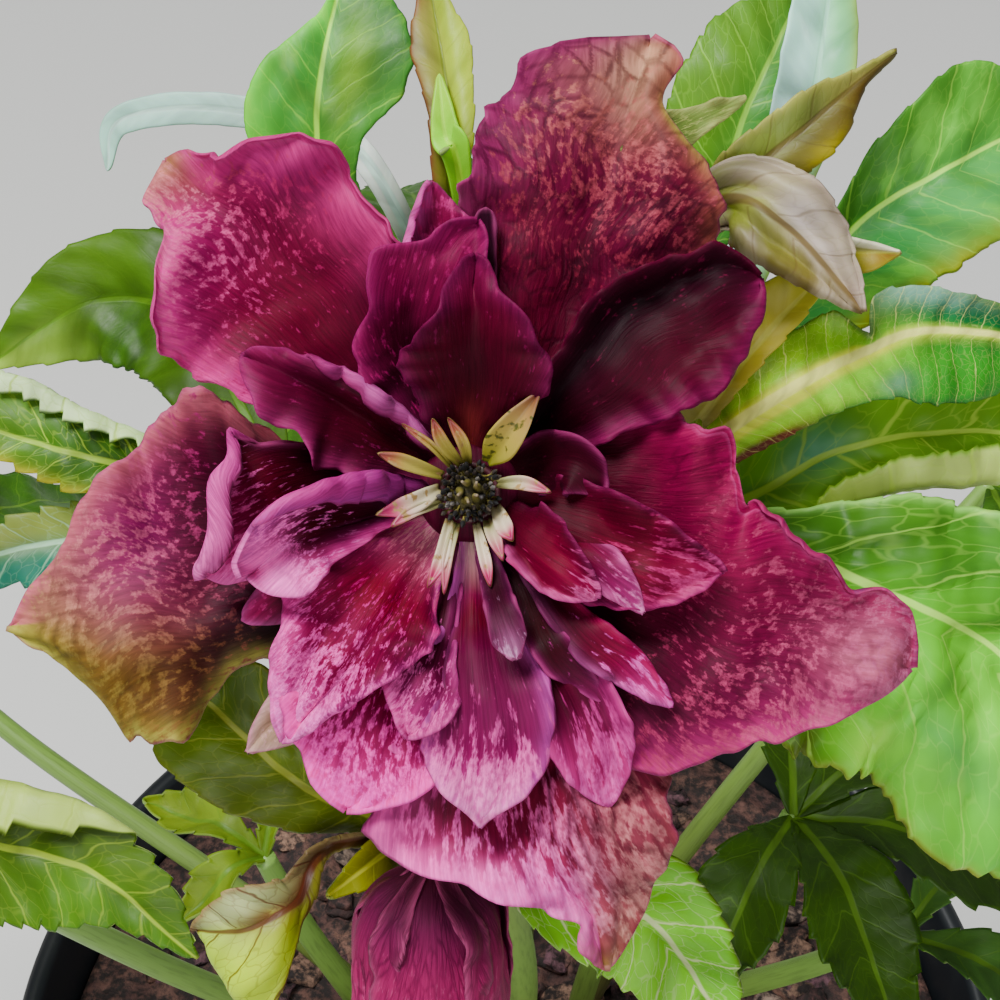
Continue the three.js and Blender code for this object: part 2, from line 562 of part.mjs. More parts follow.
function makeBloomPetals() {
  const dome = lathe([
    [0, receptacle.bottom], [2.5, receptacle.bottom], [4.6, -4.5], [receptacle.radius, -1],
    [4.7, 2], [4, receptacle.top], [0, receptacle.top],
  ], receptacle.sides);
  const outer = Object.values(outerSepals).map((shape) => blade(shape, upright, 9, 4, petalThickness));
  const inner = Object.values(innerPetals).map((shape) => {
    const narrow = Math.max(...shape.left, ...shape.right) < narrowPetal;
    return blade(shape, upright, narrow ? 3 : 5, narrow ? 2 : 4, petalThickness);
  });
  return join([solid(dome), ...outer, ...inner]);
}

function makeNectaries() {
  const { inner, outer, thickness } = nectaryRing;
  const floor = receptacle.top + gap;
  const ring = lathe([
    [inner, floor], [outer, floor], [outer, floor + thickness], [inner, floor + thickness], [inner, floor],
  ], 12);
  const tongues = nectaries.map(([foot, tip]) => {
    const middle = [(foot[0] + tip[0]) / 2, (foot[1] + tip[1]) / 2];
    const rib = [[...foot, nectary.foot], [...middle, nectary.middle], [...tip, nectary.tip]];
    const shape = { rib, left: nectary.halfWidths, right: nectary.halfWidths };
    return blade(shape, upright, 3, 1, nectary.thickness);
  });
  return join([solid(ring), ...tongues, blade(leafyNectary, upright, 3, 2, nectary.thickness)]);
}

// A ring of small stalks: count of them, each through the same points [radius, height] in its own direction
function ringOfStalks({ count, start, points, radii, sides, steps }) {
  return Array.from({ length: count }, (_, k) => {
    const turn = (2 * Math.PI * k) / count + start;
    const path = points.map(([radius, height]) => [radius * Math.cos(turn), radius * Math.sin(turn), height]);
    return stalk(path, radii, sides, steps);
  });
}

// Carpels standing in a low cushion with the stubs of stamens round them
function makeBloomCentre() {
  const floor = receptacle.top + gap;
  const raised = (points) => points.map(([radius, height]) => [radius, floor + height]);
  const cushion = lathe(raised(centre.cushion), centre.sides);
  const carpels = ringOfStalks({ ...centre.carpels, points: raised(centre.carpels.points) });
  const stamens = ringOfStalks({ ...centre.stamens, points: raised(centre.stamens.points) });
  return join([solid(cushion), ...carpels, ...stamens]);
}

// A nodding bud: sepals folded round a core, widest half way from the stalk
function makeBud() {
  const sepals = Array.from({ length: budForm.sepals }, (_, k) => {
    const turn = (2 * Math.PI * k) / budForm.sepals + budForm.start;
    const [x, y] = [Math.cos(turn), Math.sin(turn)];
    const rib = budForm.rib.map(([radius, height]) => [radius * x, radius * y, height]);
    return blade({ ...budForm.sepal, rib }, new THREE.Vector3(x, y, 0), 4, 2, petalThickness);
  });
  return join([solid(lathe(budForm.core, budForm.sides)), ...sepals]);
}

const blades = (shapes, rows, columns) => Object.values(shapes).map((shape) => (
  blade({ ...shape, rib: fromBloom(shape.rib) }, bloomAxis, rows, columns, leafThickness)
));

function makeFlowerStem() {
  return join([
    stalk(fromBloom(stemPath), stemRadii, 7, 12),
    stalk(fromBloom(bloomStalk), bloomStalkRadii, 7, 6),
    stalk(fromBloom(budStalk), budStalkRadii, 6, 4),
    ...blades(stemBracts, 10, 2),
  ]);
}

// A leaf that spreads by rule: leaflets fanned round the heading, the middle one longest and widest
function spreadLeaflets(hub, { heading, reach, width, count, fan, droop }) {
  return Array.from({ length: count }, (_, k) => {
    const offset = (2 * k) / (count - 1) - 1;
    const turn = THREE.MathUtils.degToRad(heading + fan * offset);
    const length = reach * (1 - outerLeaflet.shorter * Math.abs(offset));
    const step = (part, rise) => [
      hub[0] + Math.cos(turn) * length * part, hub[1] + Math.sin(turn) * length * part, hub[2] + rise,
    ];
    const half = width * (1 - outerLeaflet.narrower * Math.abs(offset));
    const shape = {
      rib: [step(0, 0), step(0.35, 3), step(0.7, -0.3 * droop), step(1, -droop)],
      left: [0.6, 0.6 * half, half, 0.7 * half, 0.5], right: [0.6, 0.6 * half, half, 0.7 * half, 0.5],
      leftLift: [0, 2, 1], rightLift: [0, 2, 1], teeth: true,
    };
    return blade(shape, upright, 6, 2, leafThickness);
  });
}

const leafStalk = (path, extra = 0) => (
  stalk(path, leafStalkRadii.map((radius) => radius + extra), 5, 7)
);

function makeRuleLeaf(shape) {
  return join([leafStalk(shape.path), ...spreadLeaflets(shape.path.at(-1), shape)]);
}

// Each hole is the stalk itself, fattened by the clearance and lowered by it
function stalkHole(fatStalk) {
  return fatStalk.add(fatStalk.translate([0, 0, -soil.clearance]));
}

const stalkTo = (side) => [...leafStalkFeet[side], ...fromBloom([hubs[side]])];
const lowerLeftPath = stalkTo("lowerLeft");
const bladeLeaves = {
  leaf_right: [stalkTo("right"), blades(leafRight, 10, 2)],
  leaf_top: [stalkTo("top"), blades(leafTop, 10, 2)],
  leaf_left: [stalkTo("left"), blades(leafLeft, 10, 2)],
  leaf_lower_left: [lowerLeftPath, [
    ...blades(leafLowerLeft, 12, 2), ...spreadLeaflets(lowerLeftPath.at(-1), lowerLeftSpread),
  ]],
};

const fatStem = stalk(fromBloom(stemPath), stemRadii.map((radius) => radius + soil.stalkFit), 7, 12);
const leafPaths = [
  ...Object.values(bladeLeaves).map(([path]) => path),
  ...Object.values(ruleLeaves).map((leaf) => leaf.path),
];
const holes = [fatStem, ...leafPaths.map((path) => leafStalk(path, soil.stalkFit))].map(stalkHole);

const plant = new THREE.Group();
plant.add(mesh("pot", makePot(), colours.pot, roughness.pot));
plant.add(mesh("soil", makeSoil(holes), colours.soil, roughness.soil));
plant.add(mesh("flower_stem", makeFlowerStem(), colours.stem, roughness.leaf));
plant.add(mesh("bract_khaki", join(blades(khakiBract, 8, 2)), colours.khaki, roughness.leaf));
for (const [name, [path, leaflets]] of Object.entries(bladeLeaves)) {
  plant.add(mesh(name, join([leafStalk(path), ...leaflets]), colours.leaf, roughness.leaf));
}
for (const [name, shape] of Object.entries(ruleLeaves)) {
  plant.add(mesh(name, makeRuleLeaf(shape), colours.shade, roughness.leaf));
}

const head = new THREE.Group();
head.position.set(...bloom.centre);
head.rotation.x = THREE.MathUtils.degToRad(bloom.tilt);
head.add(mesh("bloom_petals", makeBloomPetals(), colours.petal, roughness.petal));
head.add(mesh("bloom_nectaries", makeNectaries(), colours.nectary, roughness.petal));
head.add(mesh("bloom_centre", makeBloomCentre(), colours.centre, roughness.centre));
plant.add(head);

// The bud hangs from its stalk's end: its long axis runs down and a little forward
const bud = mesh("bud", makeBud(), colours.bud, roughness.petal);
bud.position.set(...fromBloom([budTop])[0]);
bud.rotation.x = THREE.MathUtils.degToRad(budLean);
plant.add(bud);

export default plant;
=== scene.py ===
import bpy
import numpy as np
from mathutils import Matrix, Vector


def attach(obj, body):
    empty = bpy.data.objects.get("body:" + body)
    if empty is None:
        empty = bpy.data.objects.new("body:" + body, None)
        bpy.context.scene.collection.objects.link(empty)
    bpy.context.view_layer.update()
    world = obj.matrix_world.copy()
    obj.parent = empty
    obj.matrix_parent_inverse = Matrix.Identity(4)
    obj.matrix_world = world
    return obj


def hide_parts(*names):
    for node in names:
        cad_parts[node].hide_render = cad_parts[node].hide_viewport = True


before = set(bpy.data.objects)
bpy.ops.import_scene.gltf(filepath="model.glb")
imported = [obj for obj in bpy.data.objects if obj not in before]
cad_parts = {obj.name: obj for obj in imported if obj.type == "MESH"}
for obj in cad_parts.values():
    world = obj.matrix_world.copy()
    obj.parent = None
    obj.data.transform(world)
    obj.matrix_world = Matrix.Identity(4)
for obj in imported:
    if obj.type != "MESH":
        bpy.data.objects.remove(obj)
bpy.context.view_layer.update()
print("frame loaded:", len(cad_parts), "nodes")

mm = 0.001

# the bloom's own frame: x to the right, y up the face, z out along its axis
bloom = {"centre": (-4, -61, 411), "tilt": 40}
tilt = np.radians(bloom["tilt"])
bloomAxes = np.array([[1, 0, 0], [0, np.cos(tilt), np.sin(tilt)], [0, -np.sin(tilt), np.cos(tilt)]])
bloomAxis = bloomAxes[2]
upright = np.array([0.0, 0.0, 1.0])


def fromBloom(points):
    # centre + x * right + y * up the face + z * outwards
    return np.array(bloom["centre"]) + np.asarray(points, float) @ bloomAxes


def linear(hexText):
    # sRGB hex to linear light: below 0.04045 a straight line, above it the 2.4 power
    c = np.array([int(hexText[i:i + 2], 16) for i in (0, 2, 4)]) / 255
    return np.where(c <= 0.04045, c / 12.92, ((c + 0.055) / 1.055) ** 2.4)


def pigment(hexText, depth):
    # part of the grey is taken out, less of it from pale tones and more where a depth is given, and deep
    # tones are darkened by their own strength to the power of depth: the view transform pales and lifts them
    greyShare, deepShare, least = 0.5, 0.7, 0.0004
    c = linear(hexText)
    share = greyShare + deepShare * depth
    return np.maximum(c - share * c.min() * (1 - c.min()), least) * c.max() ** depth


def unit(vectors):
    # each vector divided by its own length
    return vectors / np.maximum(np.linalg.norm(vectors, axis=-1, keepdims=True), 1e-12)


def smoothstep(low, high, x):
    # 3 t^2 - 2 t^3, where t goes from 0 at low to 1 at high
    t = np.clip((x - low) / (high - low), 0, 1)
    return t * t * (3 - 2 * t)


def curveThrough(points, t):
    # uniform Catmull-Rom spline: on each stretch a cubic, its end slopes half the chord of the neighbours
    points = np.asarray(points, float)
    points = points[:, None] if points.ndim == 1 else points
    ends = np.vstack([2 * points[0] - points[1], points, 2 * points[-1] - points[-2]])
    place = np.clip(t, 0, 1) * (len(points) - 1)
    i = np.minimum(place.astype(int), len(points) - 2)
    w = (place - i)[..., None]
    a, b, c, d = ends[i], ends[i + 1], ends[i + 2], ends[i + 3]
    return b + 0.5 * w * (c - a + w * (2 * a - 5 * b + 4 * c - d + w * (3 * (b - c) + d - a)))


def waves(points, length, seed):
    # smooth noise from -1 to 1: twice the mean of plane waves in seeded directions, about one length long
    count, slowest, fastest, fullTurn = 9, 0.6, 1.5, 6.3
    draw = np.random.default_rng(seed)
    across = draw.normal(size=(count, points.shape[-1]))
    rate = 2 * np.pi / length * draw.uniform(slowest, fastest, count)
    across *= (rate / np.linalg.norm(across, axis=1))[:, None]
    return np.sin(points @ across.T + draw.uniform(0, fullTurn, count)).mean(-1) * 2


def twoWaves(points, sizes, seed, fineSeed):
    # waves of one length and a share of finer ones: sizes is (length, finer length, share)
    wave, fineWave, share = sizes
    return waves(points, wave, seed) + share * waves(points, fineWave, fineSeed)


def spot(t, v, centreT, centreV, reachT, reachV):
    # exp(-dt^2 - dv^2), both distances from the centre measured in their own reach
    return np.exp(-((t - centreT) / reachT) ** 2 - ((v - centreV) / reachV) ** 2)


def ringFaces(rows, count):
    # quads between neighbouring rings, and flat caps that join each ring's two halves
    i, k = np.meshgrid(np.arange(rows), np.arange(count), indexing="ij")
    nextK = (k + 1) % count
    quads = np.stack([i * count + k, i * count + nextK, (i + 1) * count + nextK, (i + 1) * count + k], -1)
    half = count // 2
    k = np.arange(1, half - 1)
    cap = np.stack([k, k + 1, count - k - 1, count - k], -1)
    ends = np.array([[0, 1, count - 1], [half - 1, half, half + 1]])
    top = rows * count
    return (np.vstack([quads.reshape(-1, 4), cap[:, ::-1], cap + top]),
            np.vstack([ends[:, ::-1], ends + top]))


def colourAlong(colours, t, v, depth=0.0):
    # a row of colours at even steps of t, or a pair of rows for the left and the right half, which mix over
    # the middle half of the width
    if isinstance(colours, tuple):
        share = smoothstep(-0.5, 0.5, v)[..., None]
        left, right = (colourAlong(half, t, v, depth) for half in colours)
        return left * (1 - share) + right * share
    steps = [pigment(colour, depth) for colour in colours.split()]
    return np.clip(curveThrough(steps if steps[1:] else steps * 2, t), 0, 1)


def tinted(ground, colour, depth, near):
    # ground + (colour - ground) * near
    return ground + (pigment(colour, depth) - ground) * near[..., None]


def pair(value):
    # (left, right), where a single value stands for both
    return value if isinstance(value, tuple) else (value, value)


# Every look has these keys where its own dictionary doesn't say otherwise. Lists and rows of colours run
# from base to tip, pairs are (left, right), lengths are in mm, and places are shares of the length and of
# the half-width. The half-widths are left and right, and right is left out where it is the same.
# teeth: (spacing, depth), ripple: (height, wave), groove: (depth, reach), pleats: (number, depth),
# lobes: (place, reach, amount), folds: (place, place across, reach, reach across, rise), patches: the same
# with a colour and its strength for the rise, rolls: margins turned over
plainLook = {
    "ground": "808080", "marks": None, "veins": "400a20", "net": 0.5, "cover": 0.0, "rim": None,
    "rimWidth": 1.0, "rimCover": 0.0, "patches": (), "under": None, "spacing": 5.0, "slant": 1.1,
    "quilt": 0.0, "ripple": (0.0, 8.0), "crumple": 0.25, "teeth": None, "rolls": (), "thickness": 0.45,
    "tipRound": 0.06, "fan": 20.0, "groove": (0.0, 1.0), "folds": (), "leftLobes": (), "rightLobes": (),
    # edge is the colour of a painted rim highlight, a thin pale line along the margin
    "depth": 0.0, "edge": None, "edgeLightShare": 0.75, "pleats": (0, 0.0), "stretch": 1.0,
    "coarse": 1.0, "narrowest": 0.3, "ragged": 0.0,
}
gridSize = {"leaf": (132, 26), "fine": (96, 30), "middle": (72, 22), "small": (72, 10), "tiny": (30, 8)}
flapColumns = 7
# What all blades share: wave lengths and reaches in mm, spans as shares of the blade's length, and drift
# and wander as (amount, wave length)
bladeForm = {
    "crowding": 0.3,  # the columns stand closer at the margins
    "raggedWaves": (5.0, 2.2, 0.6), "crumpleWaves": (13.0, 4.5, 0.3),
    "leastTip": 0.004, "leastMargin": 0.02, "tipMargin": 0.7,
    "toothDrift": (0.3, 5), "toothCurve": 0.7, "toothSpan": (0.08, 0.2), "deepestTooth": 0.5,
    "toothLean": 0.5, "veinBend": 0.93, "quiltSwell": (0.7, 0.6),
    "overtone": (0.4, 2.3),  # share and rate of the second ripple
    "pleatWander": (0.5, 16.0), "pleatSpans": ((0.03, 0.3), (1.05, 0.75)),
    # how far in mm the painted rim highlight reaches from the margin, and the share of the length where it
    # begins
    "thinning": 0.7, "edgeLightReach": 0.22, "edgeLightStart": 0.25,
    "fanCentre": 5,  # the main veins fan out from a point so far behind the foot
    "underShade": 0.6, "slices": (3.1, 3.7),  # how far apart neighbouring seeds read the noise
}


def blade(shape, face, seed, size, **common):
    # point(t, v) = rib(t) + across * v * half-width(t) + up * lift(t) * v^2, with ripples, quilting and
    # rolled margins on top; a shell of lens-shaped section is then laid round that sheet
    look = {**plainLook, **common, **shape}
    rows, columns = gridSize[size]
    t = np.linspace(0, 1, rows + 1)
    points = curveThrough(shape["rib"], t)
    along = unit(np.gradient(points, axis=0))
    across = unit(np.cross(along, face))
    up = np.cross(across, along)
    length = np.concatenate([[0], np.cumsum(np.linalg.norm(np.diff(points, axis=0), axis=1))])

    # half-widths: the given curve, lobes, a ragged margin, a rounded tip and notches between the teeth
    x = np.linspace(-1, 1, columns + 1)
    v = x * (1 + bladeForm["crowding"] - bladeForm["crowding"] * x * x)
    side = (v > 0).astype(int)
    widths = shape["left"], shape.get("right", shape["left"])
    half = np.stack([curveThrough(width, t)[:, 0] for width in widths], 1)
    for index, lobes in enumerate((look["leftLobes"], look["rightLobes"])):
        for where, reach, amount in lobes:
            half[:, index] += amount * np.exp(-((t - where) / reach) ** 2)
        run = np.stack([length, np.full_like(length, 9.0 * index + seed)], 1)
        rough = twoWaves(run, bladeForm["raggedWaves"], seed + index, seed + index + 7)
        half[:, index] *= 1 + look["ragged"] * rough
    half = np.maximum(half, look["narrowest"])
    nearTip = np.clip((t - 1 + look["tipRound"]) / look["tipRound"], 0, 1)
    half *= np.sqrt(np.maximum(1 - nearTip ** 2, bladeForm["leastTip"]))[:, None]
    lift = np.stack([curveThrough(shape.get(name, [0, 0]), t)[:, 0] for name in ("leftLift", "rightLift")], 1)
    phase = np.array([seed % 7, seed % 5 + 2.0])
    notch = np.zeros((rows + 1, 2))
    if look["teeth"]:
        spacing, depth = look["teeth"]
        drift, driftLength = bladeForm["toothDrift"]
        beat = length[:, None] / spacing + drift * np.sin(length[:, None] / driftLength + phase) + phase
        setIn = smoothstep(*bladeForm["toothSpan"], t)[:, None]
        notch = depth * (1 - (beat % 1) ** bladeForm["toothCurve"]) * setIn
        notch = np.minimum(notch, half * bladeForm["deepestTooth"])
        for roll in look["rolls"]:
            notch[:, int(roll["side"] == "right")] *= (t < roll["span"][0]) | (t > roll["span"][1])

    # a is the distance from the rib, s the distance along it, q counts the side veins
    tt, vv = np.meshgrid(t, v, indexing="ij")
    a = vv * (half[:, side] - notch[:, side] * np.abs(vv) ** 3)
    s = length[:, None] - notch[:, side] * bladeForm["toothLean"] * np.abs(vv) ** 6
    slantwise = s - look["slant"] * np.abs(a) ** bladeForm["veinBend"]
    q = (slantwise + (vv > 0) * look["spacing"] / 2) / look["spacing"]
    spread = np.stack([a, s, np.full_like(a, seed * bladeForm["slices"][0])], -1)

    # height over the plane of rib and across: lift, ripples, quilting, crumpling, folds, pleats, groove
    ends = np.sin(np.pi * np.clip(tt, 0, 1)) ** 0.5
    amount, wave = look["ripple"]
    share, rate = bladeForm["overtone"]
    beat = 2 * np.pi * s / wave + phase[side] * 1.7
    height = lift[:, side] * vv ** 2
    height += amount * np.abs(vv) ** 2.5 * ends * (np.sin(beat) + share * np.sin(rate * beat + 1))
    power, level = bladeForm["quiltSwell"]
    cushion = np.abs(np.sin(np.pi * q)) ** power - level
    height += look["quilt"] * cushion * np.minimum(np.abs(a), 1) * (1 - vv ** 4)
    height += look["crumple"] * twoWaves(spread, bladeForm["crumpleWaves"], seed, seed + 50) * ends
    for *where, rise in look["folds"]:
        height += rise * spot(tt, vv, *where)
    pleats, pleatDepth = look["pleats"]
    wander, wave = bladeForm["pleatWander"]
    bends = pleats * vv + wander * waves(spread, wave, seed + 90)
    setIn, fadeOut = (smoothstep(*span, tt) for span in bladeForm["pleatSpans"])
    height += pleatDepth * np.cos(np.pi * bends) * setIn * fadeOut
    grooveDepth, grooveReach = look["groove"]
    height -= grooveDepth * np.exp(-(a / grooveReach) ** 2)

    sheet = points[:, None] + across[:, None] * a[..., None] + up[:, None] * height[..., None]
    sheet += along[:, None] * (s - length[:, None])[..., None]
    normal = unit(np.cross(np.gradient(sheet, axis=1), np.gradient(sheet, axis=0)))
    toTip = (1 - tt) * length[-1] * bladeForm["tipMargin"] + bladeForm["leastMargin"]
    margin = np.minimum((1 - np.abs(vv)) * half[:, side], toTip)
    layers = [sheet, normal, np.stack([a, q, margin], -1), np.stack([tt, vv], -1)]
    for roll in look["rolls"]:
        layers = rolled(layers, roll, t, length, phase[0])
    return shell(*layers, look, seed, length)


def rolled(layers, roll, t, length, phase):
    # margin turned over: an arc of the given radius up to the angle, then straight on for the rest. It is
    # width * sin(pi x)^0.6 wide, x running over its span, and less between teeth of (spacing, share, power)
    sheet, normal, grain, place = layers
    right = roll["side"] == "right"
    end, inner = (-1, -2) if right else (0, 1)
    start, stop = roll["span"]
    window = np.clip(np.sin(np.pi * np.clip((t - start) / (stop - start), 0, 1)), 0, 1) ** 0.6
    width = roll["width"] * window + bladeForm["leastMargin"]
    if "teeth" in roll:
        spacing, share, power = roll["teeth"]
        width *= 1 - share * (1 - ((length / spacing + phase) % 1) ** power)
    edge = sheet[:, end]
    out, towards = unit(edge - sheet[:, inner])[:, None], normal[:, end][:, None]
    arc = width[:, None] * np.linspace(0, 1, flapColumns + 1)[1:]
    limit, radius = np.radians(roll["angle"]), roll["radius"]
    turn = np.minimum(arc / radius, limit)[..., None]
    rest = np.maximum(arc - radius * limit, 0)[..., None]
    flap = edge[:, None] + radius * (np.sin(turn) * out + (1 - np.cos(turn)) * towards)
    flap += rest * (np.cos(turn) * out + np.sin(turn) * towards)
    flapNormal = np.cos(turn) * towards - np.sin(turn) * out
    flapGrain = np.repeat(grain[:, end][:, None], flapColumns, 1)
    flapGrain[..., 0] += arc if right else -arc
    flapGrain[..., 2] = np.maximum(width[:, None] - arc, 0)
    flapPlace = np.repeat(place[:, end][:, None], flapColumns, 1)
    added = [flap, flapNormal, flapGrain, flapPlace]
    if right:
        return [np.concatenate([old, new], 1) for new, old in zip(added, layers)]
    return [np.concatenate([new[:, ::-1], old], 1) for new, old in zip(added, layers)]


def shell(sheet, normal, grain, place, look, seed, length):
    # each row becomes a closed ring: over the face from left to right, back under it, thin at the margins
    rows, last = sheet.shape[0] - 1, sheet.shape[1] - 1
    order = np.concatenate([np.arange(last + 1), np.arange(last - 1, 0, -1)])
    face = np.concatenate([[0], np.ones(last - 1), [0], -np.ones(last - 1)])
    fromMiddle = np.abs(np.linspace(-1, 1, last + 1))
    swell = (look["thickness"] / 2 * (1 - bladeForm["thinning"] * fromMiddle ** 6))[order] * face
    points = sheet[:, order] + normal[:, order] * swell[None, :, None]
    t, v = np.moveaxis(place[:, order], -1, 0)
    a, q, margin = np.moveaxis(grain[:, order], -1, 0)

    # colours: ground and marks along the blade, then rims, patches and the thin edge, a painted rim highlight
    depth = look["depth"]
    ground = colourAlong(look["ground"], t, v, depth)
    marks = colourAlong(look["marks"] or look["ground"], t, v, depth)
    below = np.broadcast_to((face < 0)[None, :, None], ground.shape)
    if look["under"]:
        ground = np.where(below, colourAlong(look["under"], t, v, depth), ground)
        marks = np.where(below, ground * bladeForm["underShade"], marks)
    cover = look["cover"] if isinstance(look["cover"], list) else [look["cover"]] * 2
    cover = curveThrough(cover, t)[..., 0]
    for index, keep in ((0, v <= 0), (1, v > 0)):
        rim = pair(look["rim"])[index]
        if rim:
            near = np.exp(-(margin / pair(look["rimWidth"])[index]) ** 1.5) * keep
            ground = tinted(ground, rim, depth, near)
            cover = cover + pair(look["rimCover"])[index] * near
    for *where, colour, strength in look["patches"]:
        ground = tinted(ground, colour, depth, np.minimum(strength * spot(t, v, *where), 1))
    # painted rim highlight: a thin pale line along the margin, on the ground and the marks alike
    if look["edge"]:
        near = look["edgeLightShare"] * np.exp(-(margin / bladeForm["edgeLightReach"]) ** 2)
        near = near * (t > bladeForm["edgeLightStart"])
        ground, marks = (tinted(layer, look["edge"], depth, near) for layer in (ground, marks))
    net = np.full(t.shape + (1,), float(look["net"]))
    veins = np.concatenate([colourAlong(look["veins"], t, v, depth), net], -1)

    # grain is (angle, distance) from a point behind the foot where the veins fan, else (across, side veins)
    own = np.full_like(a, seed * bladeForm["slices"][1])
    if look["fan"]:
        reach = np.broadcast_to(length[:, None] + bladeForm["fanCentre"], a.shape)
        grainOut = [np.arctan2(a, reach) * look["fan"], reach / look["stretch"], own]
        grainOut = np.stack(grainOut, -1) / look["coarse"]
    else:
        grainOut = np.stack([a / look["spacing"], q, own], -1)
    placeOut = np.stack([np.abs(a), margin, t], -1)
    quads, triangles = ringFaces(rows, len(order))
    return {
        "points": points.reshape(-1, 3), "quads": quads, "triangles": triangles, "finish": 0,
        "paint": ground.reshape(-1, 3), "marks": marks.reshape(-1, 3), "veins": veins.reshape(-1, 4),
        "cover": np.clip(cover, 0, 1).ravel(), "grain": grainOut.reshape(-1, 3),
        "place": placeOut.reshape(-1, 3),
    }


def blades(shapes, size, firstSeed, common):
    # one blade for each shape, whose rib is in the bloom's frame, each with a seed of its own
    return [blade({**shape, "rib": fromBloom(shape["rib"])}, bloomAxis, firstSeed + 3 * k, size, **common)
            for k, shape in enumerate(shapes.values())]


def tube(points, radii, colours, seed, sides, rows, finish=1):
    # circles of a smoothly changing radius carried along the path, with a few low ridges round it
    ridges, ridgeHeight, aside, markShade = 3, 0.06, [0.13, 0.9, 0.2], 0.7
    t = np.linspace(0, 1, rows + 1)
    centre = curveThrough(points, t)
    along = unit(np.gradient(centre, axis=0))
    sideways = unit(np.cross(along, aside))
    forward = np.cross(along, sideways)
    turn = 2 * np.pi * np.arange(sides) / sides
    radius = curveThrough(radii, t) * (1 + ridgeHeight * np.cos(ridges * turn + seed))
    ring = np.cos(turn)[:, None] * sideways[:, None] + np.sin(turn)[:, None] * forward[:, None]
    place = centre[:, None] + ring * radius[..., None]
    length = np.concatenate([[0], np.cumsum(np.linalg.norm(np.diff(centre, axis=0), axis=1))])
    tt, kk = np.meshgrid(t, turn, indexing="ij")
    quads, triangles = ringFaces(rows, sides)
    paint = colourAlong(colours, tt, 0 * tt)
    s = np.broadcast_to(length[:, None], tt.shape)
    return {
        "points": place.reshape(-1, 3), "quads": quads, "triangles": triangles, "finish": finish,
        "paint": paint.reshape(-1, 3), "marks": paint.reshape(-1, 3) * markShade,
        "veins": np.concatenate([paint, tt[..., None] * 0], -1).reshape(-1, 4), "cover": tt.ravel() * 0,
        "grain": np.stack([kk * 2, s, np.full_like(tt, seed)], -1).reshape(-1, 3),
        "place": np.stack([s, s, tt], -1).reshape(-1, 3),
    }


def plainPart(points, quads, triangles, paint, marks):
    # a part without veins, its grain its own place, in one paint or in a paint for each point
    many = len(points)
    paint, marks = np.broadcast_to(paint, (many, 3)), np.broadcast_to(marks, (many, 3))
    return {
        "points": points, "quads": quads, "triangles": triangles, "finish": 0, "paint": paint, "marks": marks,
        "veins": np.hstack([paint, np.zeros((many, 1))]), "cover": np.zeros(many), "grain": points * 1.0,
        "place": np.full((many, 3), 5.0),
    }


def aroundAxis(radius, angle, height):
    # the point (radius * cos(angle), radius * sin(angle), height)
    return [radius * np.cos(angle), radius * np.sin(angle), height]


def makePiece(name, parts, materials, replaced=()):
    # all parts become one mesh: points in metres, faces, and the looks as attributes on its points
    counts = np.cumsum([0] + [len(p["points"]) for p in parts])
    quads = np.vstack([p["quads"] + n for p, n in zip(parts, counts)])
    triangles = np.vstack([p["triangles"] + n for p, n in zip(parts, counts)])
    mesh = bpy.data.meshes.new(name)
    mesh.vertices.add(counts[-1])
    mesh.vertices.foreach_set("co", (np.vstack([p["points"] for p in parts]) * mm).ravel())
    corners = np.concatenate([quads.ravel(), triangles.ravel()])
    starts = np.concatenate([np.arange(len(quads)) * 4, len(quads) * 4 + np.arange(len(triangles)) * 3])
    mesh.loops.add(len(corners))
    mesh.loops.foreach_set("vertex_index", corners.astype(np.int32))
    mesh.polygons.add(len(starts))
    mesh.polygons.foreach_set("loop_start", starts.astype(np.int32))
    finishes = [np.full(len(p[kind]), p["finish"]) for kind in ("quads", "triangles") for p in parts]
    mesh.polygons.foreach_set("material_index", np.concatenate(finishes).astype(np.int32))
    mesh.update(calc_edges=True)
    mesh.shade_smooth()
    for layer, kind, field in (("paint", "FLOAT_COLOR", "color"), ("marks", "FLOAT_COLOR", "color"),
                               ("veins", "FLOAT_COLOR", "color"), ("cover", "FLOAT", "value"),
                               ("grain", "FLOAT_VECTOR", "vector"), ("place", "FLOAT_VECTOR", "vector")):
        values = np.concatenate([p[layer] for p in parts])
        if kind == "FLOAT_COLOR" and values.shape[1] == 3:
            values = np.hstack([values, np.ones((len(values), 1))])
        mesh.attributes.new(layer, kind, "POINT").data.foreach_set(field, values.astype(np.float32).ravel())
    for material in materials:
        mesh.materials.append(material)
    piece = bpy.data.objects.new(name, mesh)
    bpy.context.scene.collection.objects.link(piece)
    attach(piece, "root")
    if replaced:
        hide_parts(*replaced)
    print("made", name, len(quads) * 2 + len(triangles), "triangles")


def newMaterial(name):
    # a material whose node tree is empty
    made = bpy.data.materials.new(name)
    made.use_nodes = True
    made.node_tree.nodes.clear()
    return made


def add(tree, kind, sockets=(), output=0, **settings):
    # adds one node with its settings, sets or links its sockets, and gives back one of its outputs. Of a
    # MapRange, sockets 1 and 2 are the range it reads and 3 and 4 the range it gives, 0 to 1 if left out;
    # of a Mix, socket 0 is the share and 6 and 7 are the two colours
    node = tree.nodes.new("ShaderNode" + kind)
    for key, value in settings.items():
        setattr(node, key, value)
    for key, value in dict(sockets).items():
        if isinstance(value, bpy.types.NodeSocket):
            tree.links.new(value, node.inputs[key])
        else:
            node.inputs[key].default_value = value
    return node.outputs[output] if node.outputs else None


def colourOf(hexText):
    # red, green, blue and an alpha of 1, for a colour socket
    return (*linear(hexText), 1)


def finishSurface(material, sockets, bumpHeight, bumpDepth, bumpStrength):
    # the last two nodes: a relief of bumpDepth mm at most, and the shader
    tree = material.node_tree
    normal = add(tree, "Bump", {"Height": bumpHeight, "Distance": bumpDepth * mm, "Strength": bumpStrength})
    shader = add(tree, "BsdfPrincipled", {**sockets, "Normal": normal})
    add(tree, "OutputMaterial", {"Surface": shader})
    return material


